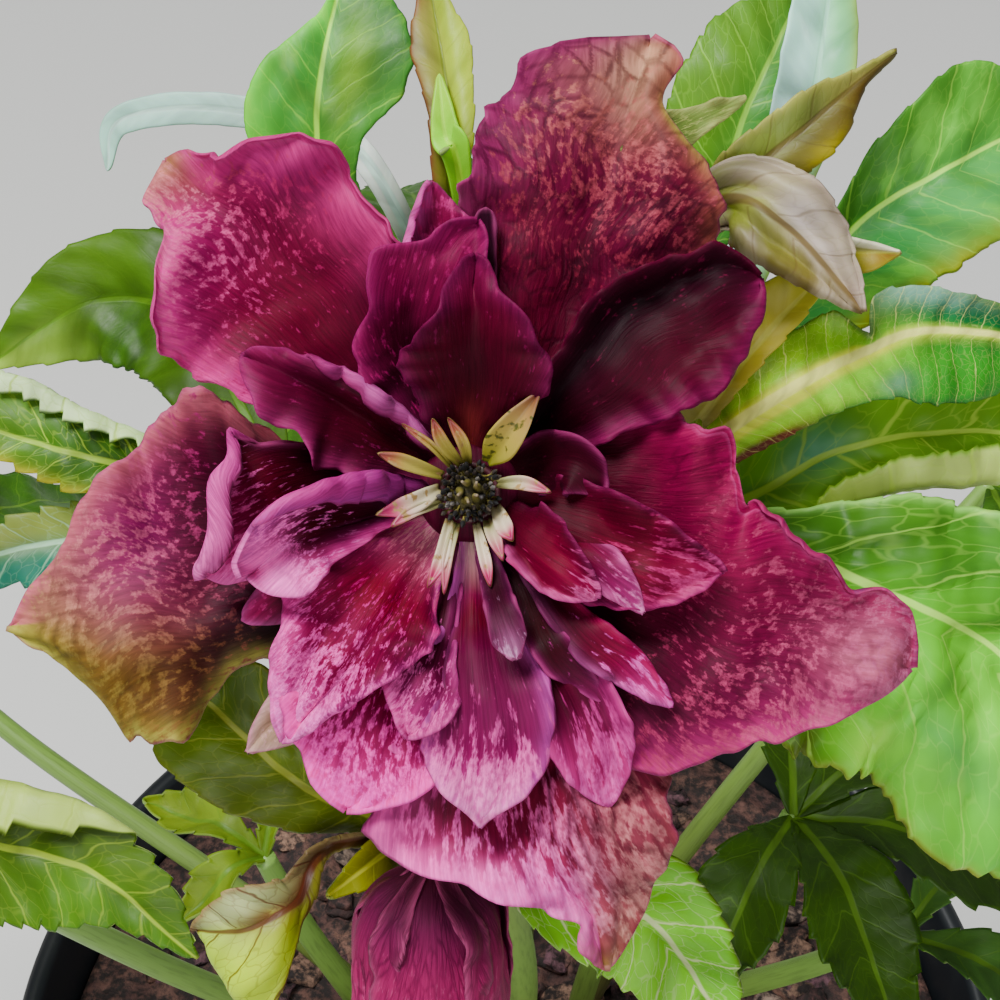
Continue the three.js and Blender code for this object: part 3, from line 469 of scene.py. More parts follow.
def makePetalTissue():
    # fresh petal: thin tissue full of red sap under a waxy skin. It is satin with a velvety edge; small pale
    # flecks, drawn out along the petal, crowd towards its margins, and dark veins branch over it
    material = newMaterial("petalTissue")
    tree = material.node_tree
    grain = add(tree, "Attribute", attribute_name="grain", output="Vector")
    paint, marks, veins = (add(tree, "Attribute", attribute_name=name, output="Color")
                           for name in ("paint", "marks", "veins"))
    net = add(tree, "Attribute", attribute_name="veins", output="Alpha")
    cover = add(tree, "Attribute", attribute_name="cover", output="Fac")
    wander = add(tree, "TexNoise", {"Vector": grain, "Scale": 0.15, "Detail": 0.0}, output="Color")
    bent = add(tree, "VectorMath", {0: wander, 1: (2.0, 2.0, 0), 2: grain}, operation="MULTIPLY_ADD")
    broad = add(tree, "TexNoise", {"Vector": bent, "Scale": 0.22, "Detail": 2.0})
    # flecks 0.5 mm wide and 1.2 mm long, their number set by cover
    drawnOut = add(tree, "VectorMath", {0: bent, 1: (2.0, 0.8, 1)}, operation="MULTIPLY")
    flecks = add(tree, "TexNoise", {"Vector": drawnOut, "Scale": 1.0, "Detail": 4.0, "Roughness": 0.62})
    amount = add(tree, "Math", {0: broad, 1: 0.5, 2: cover}, operation="MULTIPLY_ADD")
    level = add(tree, "Math", {0: amount, 1: -0.42, 2: 0.82}, operation="MULTIPLY_ADD")
    above = add(tree, "Math", {0: flecks, 1: level}, operation="SUBTRACT")
    light = add(tree, "MapRange", {"Value": above, 1: -0.045, 2: 0.06}, interpolation_type="SMOOTHSTEP")
    # grains 0.25 mm across break the flecks up
    grains = add(tree, "VectorMath", {0: bent, 1: (4.5, 3.0, 1)}, operation="MULTIPLY")
    granules = add(tree, "TexNoise", {"Vector": grains, "Scale": 1.0, "Detail": 2.0, "Roughness": 0.6})
    broken = add(tree, "MapRange", {"Value": granules, 1: 0.36, 2: 0.6, 3: 0.35, 4: 1.0})
    lightShare = add(tree, "Math", {0: light, 1: broken}, operation="MULTIPLY")
    # veins: a net with meshes 1.2 mm wide and 2.5 mm long, and main veins that fan out from the foot
    ragged = add(tree, "VectorMath", {0: granules, 1: (0.35, 0.35, 0), 2: bent}, operation="MULTIPLY_ADD")
    meshes = add(tree, "VectorMath", {0: ragged, 1: (0.8, 0.4, 1)}, operation="MULTIPLY")
    cells = add(tree, "TexVoronoi", {"Vector": meshes, "Scale": 1.0}, output="Distance",
                feature="DISTANCE_TO_EDGE")
    netVein = add(tree, "MapRange", {"Value": cells, 1: 0.17, 2: 0.0}, interpolation_type="SMOOTHSTEP")
    across = add(tree, "SeparateXYZ", {0: ragged}, output="X")
    line = add(tree, "Math", {0: across, 1: 1.7}, operation="PINGPONG")
    mainVein = add(tree, "MapRange", {"Value": line, 1: 0.3, 2: 0.0}, interpolation_type="SMOOTHSTEP")
    vein = add(tree, "Math", {0: mainVein, 1: netVein}, operation="MAXIMUM")
    patchy = add(tree, "Math", {0: broad, 1: 1.2, 2: net}, operation="MULTIPLY_ADD")
    strength = add(tree, "MapRange", {"Value": patchy, 1: 0.75, 2: 1.45, 4: 0.85})
    veinShare = add(tree, "Math", {0: vein, 1: strength}, operation="MULTIPLY")
    # streaks 0.2 mm wide that run the length of the petal
    streaks = add(tree, "VectorMath", {0: bent, 1: (4.5, 0.3, 1)}, operation="MULTIPLY")
    fine = add(tree, "TexNoise", {"Vector": streaks, "Scale": 1.0, "Detail": 3.0, "Roughness": 0.6})
    celled = add(tree, "Mix", {0: lightShare, 6: paint, 7: marks}, output=2, data_type="RGBA")
    coloured = add(tree, "Mix", {0: veinShare, 6: celled, 7: veins}, output=2, data_type="RGBA")
    shaded = add(tree, "MapRange", {"Value": fine, 1: 0.3, 2: 0.7, 3: 0.68, 4: 1.18})
    toned = add(tree, "VectorMath", {0: coloured, "Scale": shaded}, operation="SCALE")
    gloss = add(tree, "MapRange", {"Value": fine, 3: 0.42, 4: 0.6})
    relief = add(tree, "Math", {0: fine, 1: veinShare}, operation="SUBTRACT")
    return finishSurface(material, {
        "Base Color": toned, "Roughness": gloss, "IOR": 1.38, "Specular IOR Level": 0.1,
        "Subsurface Weight": 0.1, "Subsurface Radius": (1.0, 0.3, 0.45), "Subsurface Scale": 0.0012,
        "Sheen Weight": 0.02, "Sheen Roughness": 0.4, "Sheen Tint": colourOf("f070b0"),
    }, relief, 0.09, 0.8)


def makeLeafBlade():
    # leaf: leathery blade under a clear cuticle, so it has broad soft highlights; side veins leave the
    # midrib on a slant and a fine net joins them
    material = newMaterial("leafBlade")
    tree = material.node_tree
    grain, place = (add(tree, "Attribute", attribute_name=name, output="Vector")
                    for name in ("grain", "place"))
    paint, marks, veins = (add(tree, "Attribute", attribute_name=name, output="Color")
                           for name in ("paint", "marks", "veins"))
    net = add(tree, "Attribute", attribute_name="veins", output="Alpha")
    cover = add(tree, "Attribute", attribute_name="cover", output="Fac")
    wander = add(tree, "TexNoise", {"Vector": grain, "Scale": 2.2, "Detail": 2.0}, output="Color")
    bent = add(tree, "VectorMath", {0: wander, 1: (0.35, 0.35, 0), 2: grain}, operation="MULTIPLY_ADD")
    beat = add(tree, "SeparateXYZ", {0: bent}, output="Y")
    sideLine = add(tree, "Math", {0: beat, 1: 0.5}, operation="PINGPONG")
    sideVein = add(tree, "MapRange", {"Value": sideLine, 1: 0.04, 2: 0.006}, interpolation_type="SMOOTHSTEP")
    sideShare = add(tree, "MapRange", {"Value": net, 1: 0.0, 2: 0.6, 3: 0.15, 4: 0.95})
    sideSoft = add(tree, "Math", {0: sideVein, 1: sideShare}, operation="MULTIPLY")
    cells = add(tree, "TexVoronoi", {"Vector": bent, "Scale": 3.6}, output="Distance",
                feature="DISTANCE_TO_EDGE")  # a net cell is a quarter of the side veins' spacing
    netVein = add(tree, "MapRange", {"Value": cells, 1: 0.06, 2: 0.006, 4: 0.55},
                  interpolation_type="SMOOTHSTEP")
    netShare = add(tree, "Math", {0: netVein, 1: net}, operation="MULTIPLY")
    fromRib = add(tree, "SeparateXYZ", {0: place}, output="X")
    along = add(tree, "SeparateXYZ", {0: place}, output="Z")
    ribSpan = add(tree, "Math", {0: along, 1: 0.45, 2: fromRib}, operation="MULTIPLY_ADD")
    midrib = add(tree, "MapRange", {"Value": ribSpan, 1: 0.75, 2: 0.5}, interpolation_type="SMOOTHSTEP")
    strong = add(tree, "Math", {0: sideSoft, 1: midrib}, operation="MAXIMUM")
    line = add(tree, "Math", {0: strong, 1: netShare}, operation="MAXIMUM")
    lineShare = add(tree, "Math", {0: line, 1: 0.85}, operation="MULTIPLY")
    patches = add(tree, "TexNoise", {"Vector": bent, "Scale": 1.1, "Detail": 3.0})
    patchSum = add(tree, "Math", {0: patches, 1: cover}, operation="ADD")
    patch = add(tree, "MapRange", {"Value": patchSum, 1: 0.75, 2: 1.05}, interpolation_type="SMOOTHSTEP")
    mottled = add(tree, "Mix", {0: patch, 6: paint, 7: marks}, output=2, data_type="RGBA")
    coloured = add(tree, "Mix", {0: lineShare, 6: mottled, 7: veins}, output=2, data_type="RGBA")
    # the blade's thickness changes in soft bands a few millimetres wide that run from rib to margin
    bands = add(tree, "VectorMath", {0: bent, 1: (0.5, 1.3, 1)}, operation="MULTIPLY")
    broad = add(tree, "TexNoise", {"Vector": bands, "Scale": 0.8, "Detail": 2.0})
    tone = add(tree, "MapRange", {"Value": broad, 1: 0.3, 2: 0.7, 3: 0.62, 4: 1.28})
    toned = add(tree, "VectorMath", {0: coloured, "Scale": tone}, operation="SCALE")
    fine = add(tree, "TexNoise", {"Vector": grain, "Scale": 9.0, "Detail": 2.0})
    gloss = add(tree, "MapRange", {"Value": fine, 3: 0.36, 4: 0.56})
    raised = add(tree, "Math", {0: line, 1: -1.0, 2: cells}, operation="MULTIPLY_ADD")
    return finishSurface(material, {
        "Base Color": toned, "Roughness": gloss, "IOR": 1.42, "Specular IOR Level": 0.3,
        "Subsurface Weight": 0.1, "Subsurface Radius": (0.5, 1.0, 0.15), "Subsurface Scale": 0.0012,
    }, raised, 0.07, 0.5)


def makeStalkSkin():
    # fleshy stalk: smooth ribbed skin with a thin wax, flushed purple in streaks
    material = newMaterial("stalkSkin")
    tree = material.node_tree
    grain = add(tree, "Attribute", attribute_name="grain", output="Vector")
    paint, marks = (add(tree, "Attribute", attribute_name=name, output="Color")
                    for name in ("paint", "marks"))
    lengthwise = add(tree, "VectorMath", {0: grain, 1: (2.2, 0.12, 1)}, operation="MULTIPLY")
    streaks = add(tree, "TexNoise", {"Vector": lengthwise, "Scale": 1.0, "Detail": 4.0})
    share = add(tree, "MapRange", {"Value": streaks, 1: 0.45, 2: 0.75}, interpolation_type="SMOOTHSTEP")
    coloured = add(tree, "Mix", {0: share, 6: paint, 7: marks}, output=2, data_type="RGBA")
    gloss = add(tree, "MapRange", {"Value": streaks, 3: 0.35, 4: 0.5})
    return finishSurface(material, {
        "Base Color": coloured, "Roughness": gloss, "Subsurface Weight": 0.1,
        "Subsurface Radius": (0.5, 1.0, 0.3), "Subsurface Scale": 0.0015,
    }, streaks, 0.12, 0.5)


def makeFleck(name, roughness):
    # small dry or waxy flower parts: paint with darker specks 0.3 mm across
    material = newMaterial(name)
    tree = material.node_tree
    paint, marks = (add(tree, "Attribute", attribute_name=name, output="Color")
                    for name in ("paint", "marks"))
    where = add(tree, "TexCoord", output="Object")
    specks = add(tree, "TexNoise", {"Vector": where, "Scale": 1 / (0.9 * mm), "Detail": 3.0})
    share = add(tree, "MapRange", {"Value": specks, 1: 0.56, 2: 0.66}, interpolation_type="SMOOTHSTEP")
    coloured = add(tree, "Mix", {0: share, 6: paint, 7: marks}, output=2, data_type="RGBA")
    gloss = add(tree, "MapRange", {"Value": specks, 3: roughness - 0.1, 4: roughness + 0.1})
    return finishSurface(material, {
        "Base Color": coloured, "Roughness": gloss, "Subsurface Weight": 0.08,
        "Subsurface Radius": (1.0, 0.9, 0.4), "Subsurface Scale": 0.001,
    }, specks, 0.05, 0.4)


petalTissue = makePetalTissue()
leafBlade = makeLeafBlade()
stalkSkin = makeStalkSkin()
nectaryWax = makeFleck("nectaryWax", 0.45)
print("plant materials made")

# Petals in the bloom's frame. Rib points and widths stay close to those of the solids; the colours run from
# the base to the tip, first the ground, then the paler marks on it, with how much of it they cover. The dark
# grounds at the base are the petals' own deep wine with painted shade from deep in the bloom in them.
outerSepals = {
    "topRight": {
        "rib": [[2, 2.6, -2], [7, 13, 1], [10, 22, 3], [13, 31, 3], [16.5, 41.5, 1]],
        "left": [2, 5, 8, 10.3, 11.7, 12, 11.6, 9.5, 3.5], "right": [2, 6, 8.8, 10.6, 12, 11.6, 10, 3, 4.5],
        "leftLift": [1, 1, 0, 1, -1], "rightLift": [1, 2, 1, 0, 1],
        "ground": ("34041a 780830 7c1c3c 8c4058 b87880", "34041a 700a34 6c1838 843c4c cc988c"),
        "marks": "5a0c28 7c1c34 a04c5c c47c80 d0a08c", "cover": [0, 0.12, 0.4, 0.5, 0.4],
        "rim": ("98446c", "b47870"), "rimWidth": (3.2, 1.8), "rimCover": -0.4, "veins": "4a0a28",
        "net": 0.5, "coarse": 0.85,
        "patches": [(0.95, 0.1, 0.12, 0.5, "dcb49c", 0.85), (0.84, 1, 0.06, 0.2, "a8a858", 0.9),
                    (0.45, 0.05, 0.22, 0.12, "44081e", 0.7), (0.5, -0.45, 0.3, 0.1, "5a0a28", 0.5),
                    (0.5, 0.5, 0.3, 0.1, "4a0820", 0.5)], "ripple": (1.5, 13), "crumple": 1.0,
        "leftLobes": [(0.3, 0.04, 0.7), (0.62, 0.05, -0.5), (0.9, 0.05, 0.6)],
        "rightLobes": [(0.42, 0.04, 0.8), (0.5, 0.03, -0.5), (0.66, 0.04, 0.6)],
        "folds": [(0.55, 0.05, 0.4, 0.22, -1.8), (0.6, -0.45, 0.35, 0.25, 0.9),
                  (0.6, 0.5, 0.35, 0.25, 0.9)],
    },
    "right": {
        "rib": [[2.6, -1, -2], [11, -6, 2], [20.5, -11, 4], [30.5, -13.8, 4], [40, -16, 2]],
        "left": [4, 11, 14.6, 15, 11, 9.2, 7.4, 6.2, 3.4],
        "right": [2, 5, 10, 14.2, 15.2, 11.4, 8.4, 5.2, 2], "leftLift": [1, 2, 1, 3, 1],
        "rightLift": [0, 0, 1, 2, 0],
        "ground": ("340012 640228 880640 8c2250 b86088", "340012 520224 640e34 82264e b05c80"),
        "marks": "6a1236 982448 b85474 cc7490 d890ac", "cover": [0, 0.1, 0.32, 0.45, 0.5],
        "rim": ("b02460", "c04880"), "rimWidth": (1.5, 2.6), "rimCover": (0, 0.3), "veins": "4e0826",
        "net": 0.3, "coarse": 0.85,
        # patches: a pale painted sheen over the tip, the lower margin's own magenta, and painted crease shade
        # in the fold at the tip
        "patches": [(0.93, 0, 0.12, 0.7, "dc94a4", 0.7), (0.38, -0.9, 0.16, 0.4, "98064a", 0.6),
                    (0.97, 0.2, 0.02, 0.9, "6a2038", 0.7)], "ripple": (1.1, 13), "crumple": 1.0,
        "leftLobes": [(0.5, 0.05, -0.8), (0.58, 0.04, 0.7), (0.8, 0.05, -1.4)],
        "folds": [(0.5, 0, 0.5, 0.25, -0.8), (0.8, -0.6, 0.08, 0.5, -1.2), (0.92, -0.2, 0.06, 0.7, 2.2),
                  (0.62, -0.8, 0.1, 0.4, 1.0), (0.7, 0.5, 0.2, 0.3, 0.8)],
        "rolls": [{"side": "left", "span": (0.3, 1.0), "width": 1.3, "angle": 110, "radius": 0.7}],
    },
    "bottom": {
        "rib": [[0.6, -3, -2], [4.5, -17, 2], [7.5, -27.5, 4], [11, -36.5, 4], [12.5, -43.5, 1]],
        "left": [2, 5, 8, 10.5, 11.5, 10.5, 7.8, 4, 0.8], "right": [2, 7, 12, 15.5, 16.3, 9, 4.5, 1.5, 1],
        "leftLift": [0, -1, -2, -2, 0], "rightLift": [0, -1, -1.5, 1, 0],
        "ground": ("340012 500622 8c3c50 b8747c c49088", "340012 5c0224 840634 a82c5c a45c54"),
        "marks": ("6a1a34 843044 c4808a e4a8a8 dcb0a0", "8a1c44 d04484 ff84c8 ff94d4 d8948c"),
        "stretch": 2.2, "cover": [0, 0.2, 0.5, 0.6, 0.5], "rim": ("a86068", "ff80c8"),
        "rimWidth": (1.2, 3.4), "rimCover": (0, 0.3), "veins": "42081e", "net": 0.5,
        "patches": [(1, 0, 0.06, 0.8, "a08a50", 0.9), (0.6, -0.55, 0.3, 0.1, "3c0c1e", 0.3)],
        "ripple": (1.4, 10), "crumple": 1.0,
        "rightLobes": [(0.72, 0.025, -0.8), (0.8, 0.03, -1.4), (0.88, 0.03, 0.9)],
        "leftLobes": [(0.35, 0.05, 0.6), (0.6, 0.04, -0.6)],
        "folds": [(0.6, -0.15, 0.4, 0.15, 1.1), (0.65, 0.35, 0.3, 0.2, -0.9), (0.85, 0.6, 0.08, 0.5, 1.2)],
    },
    "lowerLeft": {
        "rib": [[-3, -0.8, -2.6], [-13, -7, 0], [-22.5, -10, 2], [-32.5, -11.5, 3], [-42.5, -12.5, -1]],
        "left": [2, 3.5, 4.5, 6, 7, 11, 10.5, 4.2, 0.8], "right": [2, 8, 14, 18, 18.5, 16, 12, 6.5, 1],
        "leftLift": [0, 0, -1, -2, 0], "rightLift": [0, 1, 1, 0, 0],
        "ground": ("2c000f 400c20 643440 8c6c40 948c3c", "2c000f 480624 782044 a85878 b09c60"),
        "marks": ("4a1428 603040 94685c a48c58 a49c54", "5a0c2c 7c1c44 b04c78 d88c9c c4ac74"),
        "cover": [0, 0.08, 0.36, 0.5, 0.3], "rim": ("c8c274", "dc8c98"), "rimWidth": (1.4, 2.2),
        "veins": "3c0a26", "net": 0.3, "ripple": (1.4, 12), "crumple": 1.2,
        "leftLobes": [(0.5, 0.05, -0.8), (0.62, 0.05, 0.6), (0.8, 0.05, 0.5)],
        "rightLobes": [(0.45, 0.05, 0.6)],
        "patches": [(0.4, -0.6, 0.2, 0.5, "2c0418", 0.85), (0.4, 0.45, 0.2, 0.4, "3c061c", 0.9)],
        "folds": [(0.6, -0.3, 0.4, 0.2, 1.3), (0.6, 0.35, 0.3, 0.25, -1.0), (0.35, 0.8, 0.12, 0.4, 1.6)],
    },
    "topLeft": {
        "rib": [[-2, 2, -2], [-9, 11, 2], [-16, 19, 4], [-23, 26, 4], [-27.5, 30, 2]],
        "left": [2, 5, 8, 10.4, 11.8, 11, 4.8, 4.6, 2.2], "right": [2, 6, 8.4, 9, 9.2, 10.4, 6.4, 2.4, 1.6],
        "leftLift": [0, 1, 1, 2, 0], "rightLift": [0, 1, 2, 3, 0],
        "ground": ("340010 600226 7c0834 98305c b06c64", "340010 600226 740530 741034 986050"),
        "marks": ("8a1c48 a02c58 c44c80 e484a8 dca098", "8a1c48 942450 b03464 c05878 c89084"),
        "cover": [0, 0.02, 0.3, 0.44, 0.5], "coarse": 0.8, "rim": ("d85094", "c84c84"),
        "rimWidth": (2.4, 2.8), "rimCover": (0.3, -0.2), "veins": "4e0422",
        # patches: the tan tip, and over the upper margin its own pink raised as painted light where the
        # rolled edge shades it
        "patches": [(0.98, 0, 0.07, 0.8, "b89068", 0.9), (0.72, 0.75, 0.14, 0.3, "cc5090", 0.4)],
        "ripple": (0.9, 11), "crumple": 0.9, "rightLobes": [(0.8, 0.025, -1.6)],
        "leftLobes": [(0.95, 0.03, 0.8)],
        "folds": [(0.8, 0.7, 0.08, 0.5, -1.4), (0.68, 0.8, 0.08, 0.4, 1.8), (0.82, -0.7, 0.08, 0.5, -1.3),
                  (0.66, -0.85, 0.1, 0.4, 2.0), (0.55, 0, 0.5, 0.3, -0.8), (0.95, 0, 0.05, 0.8, 1.4)],
        "under": "a03068 dc68a4 e884b4",
        "rolls": [{"side": "right", "span": (0.2, 0.97), "width": 1.3, "angle": 95, "radius": 0.7},
                  {"side": "left", "span": (0.5, 0.8), "width": 1.4, "angle": 110, "radius": 0.8}],
    },
    "oliveTooth": {
        "rib": [[13.5, 31.5, 1.2], [19.5, 33.4, 1.7], [25.3, 36.2, 0.6]], "left": [0.8, 1.8, 1.2, 0.3],
        "right": [0.8, 2.2, 1.4, 0.3], "ground": "6c6048 80945c 94a868", "marks": "b4bc84", "cover": 0.4,
        "rim": "bcc48c", "rimWidth": 0.5, "edge": None, "leftLift": [0, 0.6, 0], "tipRound": 0.1,
    },
}
innerPetals = {
    "upperRight": {
        "rib": [[3, 2, -1], [11.5, 10, 4], [18.5, 15.5, 6], [26, 19.2, 5]],
        "left": [2, 3, 4.5, 6, 5.6, 4.8, 2.5], "right": [2, 3.5, 5.5, 7.4, 7.4, 6, 3],
        "leftLift": [2, 2, 1], "rightLift": [1, 1, 0], "tipRound": 0.1, "leftLobes": [(0.8, 0.05, -0.8)],
        "rightLobes": [(0.9, 0.04, -0.8)], "pleats": (1.6, 0.5), "edge": "6c1438",
        "folds": [(0.7, -0.55, 0.3, 0.25, -1.4), (0.7, 0.75, 0.25, 0.2, 1.2)],
        "ground": ("2c0012 30021a 34061c 400c24", "2c0012 540424 600c2a 54102c"), "marks": "7c2044",
        "cover": 0.15, "rim": ("5c1030", "943060"), "rimWidth": (0.7, 1.2),
    },
    "topBack": {
        "rib": [[-1, 3, 0], [-2.5, 11, 4], [-2.6, 17, 7], [0.8, 24, 7]],
        "left": [1.5, 4, 6.5, 7.5, 6.5, 4, 1], "right": [1.5, 3.5, 5, 5.5, 4.5, 3, 1],
        "leftLift": [1, 2.5, 1.5], "rightLift": [1, 2, 1],
        "leftLobes": [(0.62, 0.05, -1), (0.74, 0.05, 1.2), (0.84, 0.04, -0.8)],
        "folds": [(0.5, -0.4, 0.25, 0.35, -2.0), (0.8, 0, 0.1, 0.4, 1.0)], "ripple": (0.7, 6),
        "edge": "9c3c70", "ground": "2c0012 4c0224 800a42 941a54", "marks": "b02c6c", "cover": 0.25,
        "rim": "9c2c64", "rimWidth": 0.9,
    },
    "topLobe": {
        "rib": [[-1, 3, -1], [-2.5, 16, 2], [-3.5, 28, 4]], "left": [1.5, 3, 3.5, 2.4, 1],
        "right": [1.5, 3, 4.5, 4, 1], "leftLift": [0, 1, 2], "ground": "440018 84083c b82864",
        "marks": "dc5494", "cover": 0.35, "tipRound": 0.14, "rim": ("dc70b4", "8a2058"), "ripple": (1.0, 5),
        "rightLobes": [(0.8, 0.06, 1.0)], "under": "b03878 e070b0 f08cc0", "leftLobes": [(0.7, 0.08, 0.8)],
        "rolls": [{"side": "left", "span": (0.4, 1.0), "width": 1.4, "angle": 130, "radius": 0.5}],
    },
    "topTip": {
        "rib": [[0.5, 3, -1], [0.8, 15, 2], [1.5, 25.5, 5]], "left": [1, 1.6, 1],
        "ground": "30021a 3a0624 44082c",
    },
    "topFront": {
        "rib": [[0, 3, 1], [0.5, 10.5, 8], [0.5, 16, 11], [0.6, 20.4, 9]], "left": [1, 4.6, 6.6, 4.6, 2, 1],
        "right": [1, 4.6, 6.8, 5, 2, 1], "tipRound": 0.14, "leftLift": [0, 2.5, 1],
        "rightLift": [0, 2.5, 1], "edge": "7c2450", "edgeLightShare": 0.5, "leftLobes": [(0.66, 0.05, -1.0)],
        "rightLobes": [(0.72, 0.05, -0.7)], "ripple": (0.5, 5),
        "folds": [(0.5, 0, 0.4, 0.3, -1.2), (0.8, 0.5, 0.1, 0.4, 0.8)],
        # patches: the cream streak at the base, and painted shade down the middle of the cup over its deeper
        # wine
        "patches": [(0.1, 0, 0.12, 0.3, "b05c5c", 0.8), (0.35, 0, 0.25, 0.35, "3c0016", 0.5)],
        "ground": "4c021c 5c0424 6c0a30 942050", "marks": "94285c", "cover": [0, 0.1, 0.2, 0.3],
        "rim": "7c2450",
    },
    "leftUpper": {
        "rib": [[-2.5, 1.6, 0.6], [-9, 6, 5.4], [-15, 9.5, 8.6], [-20, 12, 8]],
        "left": [1, 4, 5, 4.4, 3.2, 1], "right": [1, 2.4, 3, 2.6, 2.2, 1], "leftLift": [0, 2, 0],
        "ground": "38000f 54021e 640830 8c2850", "marks": "902c5c", "cover": 0.2,
        "rim": ("a04470", "90305c"), "rimWidth": (1.1, 0.6), "under": "9a5480 cc78ac b8548c 9c3c70",
        "folds": [(0.5, 0.1, 0.4, 0.35, -2.2)], "ripple": (0.7, 6), "edge": "a85080",
        "leftLobes": [(0.45, 0.04, 0.8), (0.58, 0.05, -0.7), (0.75, 0.05, 0.6)],
        "rolls": [{"side": "right", "span": (-0.02, 0.7), "width": 2.2, "angle": 172, "radius": 0.2}],
    },
    "leftOuter": {
        "rib": [[-3, -0.4, 0], [-12.5, -0.5, 4], [-18.5, -3.5, 6], [-23.5, -7.5, 5]],
        "left": [1, 4, 5, 4.6, 3.4, 1.2], "right": [1, 4, 5.6, 6.6, 2.2, 0.8], "rightLift": [0, 2, 3],
        "ground": "38000f 4c021c 8c1048 e45ca0", "marks": "f080bc", "cover": [0, 0.1, 0.4, 0.8],
        "rim": ("e880bc", "5c0830"), "rightLobes": [(0.56, 0.03, 1.6), (0.7, 0.05, 0.8)], "stretch": 1.6,
        "coarse": 0.7, "folds": [(0.75, 0.8, 0.12, 0.4, 1.6), (0.5, 0.1, 0.4, 0.3, -1.4)],
        "ripple": (0.5, 7), "under": "a03874 e058a8 ff94d0",
        "rolls": [{"side": "right", "span": (0.5, 1.04), "width": 3.0, "angle": 140, "radius": 0.5}],
    },
    "leftCup": {
        "rib": [[-3, -0.8, 0.8], [-9.5, -2.5, 5.6], [-15, -4, 9.4], [-19.2, -7.2, 8.8]],
        "left": [0.6, 1, 2.2, 3.8, 4.8, 1.8], "right": [1, 2.8, 4, 3.6, 2.6, 1], "rightLift": [0, 4, 4],
        "leftLift": [0.5, 1.5, 2], "ground": "380010 4c0220 8c0848 f868bc", "marks": "ff90d4",
        "cover": [0, 0.05, 0.5, 0.9], "rim": ("e858a4", "b060a4"), "rimWidth": (1.4, 1.0),
        "rimCover": (0.2, 0), "under": "5c1c48 b04c90 e060a8 ff90d0", "stretch": 1.4, "coarse": 0.7,
        # patches: the tip's own bright pink raised as painted light where the cup lies in shade, and crimson
        # darkened as painted shade under the rolled band
        "patches": [(1, -0.3, 0.22, 1.3, "ff9cd8", 1.3), (0.5, 0.4, 0.25, 0.5, "440418", 0.8)],
        "folds": [(0.5, 0, 0.4, 0.35, -2.0)],
        "rolls": [{"side": "right", "span": (-0.25, 0.78), "width": 4.0, "angle": 165, "radius": 0.4}],
    },
    "leftTip": {
        "rib": [[-2.8, -1.2, -0.5], [-12.5, -6, 3], [-17, -9.5, 4], [-20.5, -11.5, 3]],
        "left": [1, 3, 3.5, 2, 0.6], "right": [1, 3, 3, 2, 0.6], "ground": "3a001a 5a0228 94184e",
        "marks": "b04878", "cover": 0.3, "rim": "c070a0", "rimWidth": 0.6,
    },
    "lowerLeftFront": {
        "rib": [[-2, -2.2, 1], [-8, -9.5, 6], [-12, -15, 8], [-16.5, -22, 6]],
        "left": [1, 3.2, 6, 6, 4.4, 2.4, 0.8], "right": [1, 4.4, 6.6, 7.6, 5.8, 4, 0.6],
        "leftLift": [0.5, 3, 1], "rightLift": [-0.5, 0, 1], "ground": "e090ac 8c063a 940c48 9c1c5c ec64b8",
        "marks": "f4ccc8 d05084 e868ac ff84cc ffa0e0", "cover": [0.6, 0.3, 0.35, 0.6, 0.95],
        "rim": ("b04888", "f060b0"), "rimWidth": (0.7, 1.4), "rimCover": 0.2, "net": 0.2,
        "patches": [(0.45, -0.7, 0.2, 0.3, "5c0428", 0.7), (0.97, 0, 0.1, 1, "ff90d8", 0.7)],
        "ripple": (0.8, 6), "pleats": (3.2, 0.6), "stretch": 1.3, "coarse": 0.65,
    },
    "lowerLeftBack": {
        "rib": [[-1.4, -2.7, -0.6], [-5.5, -14, 3], [-8, -21, 5.5], [-11, -28.5, 4]],
        "left": [1, 4, 6, 7.5, 7.5, 5.5, 1.5], "right": [1, 4, 6.5, 8.5, 9, 6.5, 2], "leftLift": [0, 1, 1],
        "rightLift": [0, 1, 1], "ground": "54001c 7c022c 94044a d44490",
        "marks": "b8305c e45ca0 ff68bc ff74d0", "cover": [0.1, 0.2, 0.45, 0.75], "rim": "ff60b4",
        "rimWidth": 1.4, "rimCover": 0.2, "ripple": (1.1, 8), "pleats": (4.2, 0.35), "stretch": 1.4,
    },
    "lowerMiddle": {
        "rib": [[-0.8, -3, 0.6], [-1.8, -11.5, 5.2], [-3.2, -16.5, 8], [-5.4, -21.6, 8]],
        "left": [1, 0.8, 1.4, 3.2, 0.8], "right": [1, 2.6, 4, 4.2, 0.8], "leftLift": [0, 0, 1],
        "rightLift": [0, 0, 1], "ground": "44001a 4c0422 7c1c4c b84484", "marks": "f080bc",
        "edge": "985078", "cover": [0, 0.1, 0.5, 0.6], "rim": ("c05890", "d85898"), "rimWidth": 0.7,
        "pleats": (2.2, 0.4), "stretch": 1.6, "coarse": 0.75,
    },
    "lowerMiddleTip": {
        "rib": [[-0.9, -2.8, 0], [-5.5, -17, 4], [-4.5, -25, 5]], "left": [1, 2.6, 3, 0.6],
        "ground": "54001c a01450 d84c94", "marks": "f070b0", "cover": 0.4, "rim": "e868b0", "stretch": 1.6,
    },
    "bottomFront": {
        "rib": [[0, -3, 1.5], [0.5, -13, 5.8], [1.5, -21, 7.8], [1, -29.5, 6.6]],
        "left": [0.8, 2, 4.2, 5.8, 6, 4.8, 0.4], "right": [0.8, 1.8, 3.6, 5.2, 5.8, 4.9, 0.4],
        "tipRound": 0.12, "leftLift": [0, 0, 1], "rightLift": [0, 0, 1],
        "ground": "f4d0c0 88304c 742848 842c58 a02c6c e468b4",
        "marks": "f8e0d0 b4506c b05080 d468a0 f88cc8 ffb0e0", "cover": [0.6, 0.1, 0.1, 0.3, 0.72, 0.9],
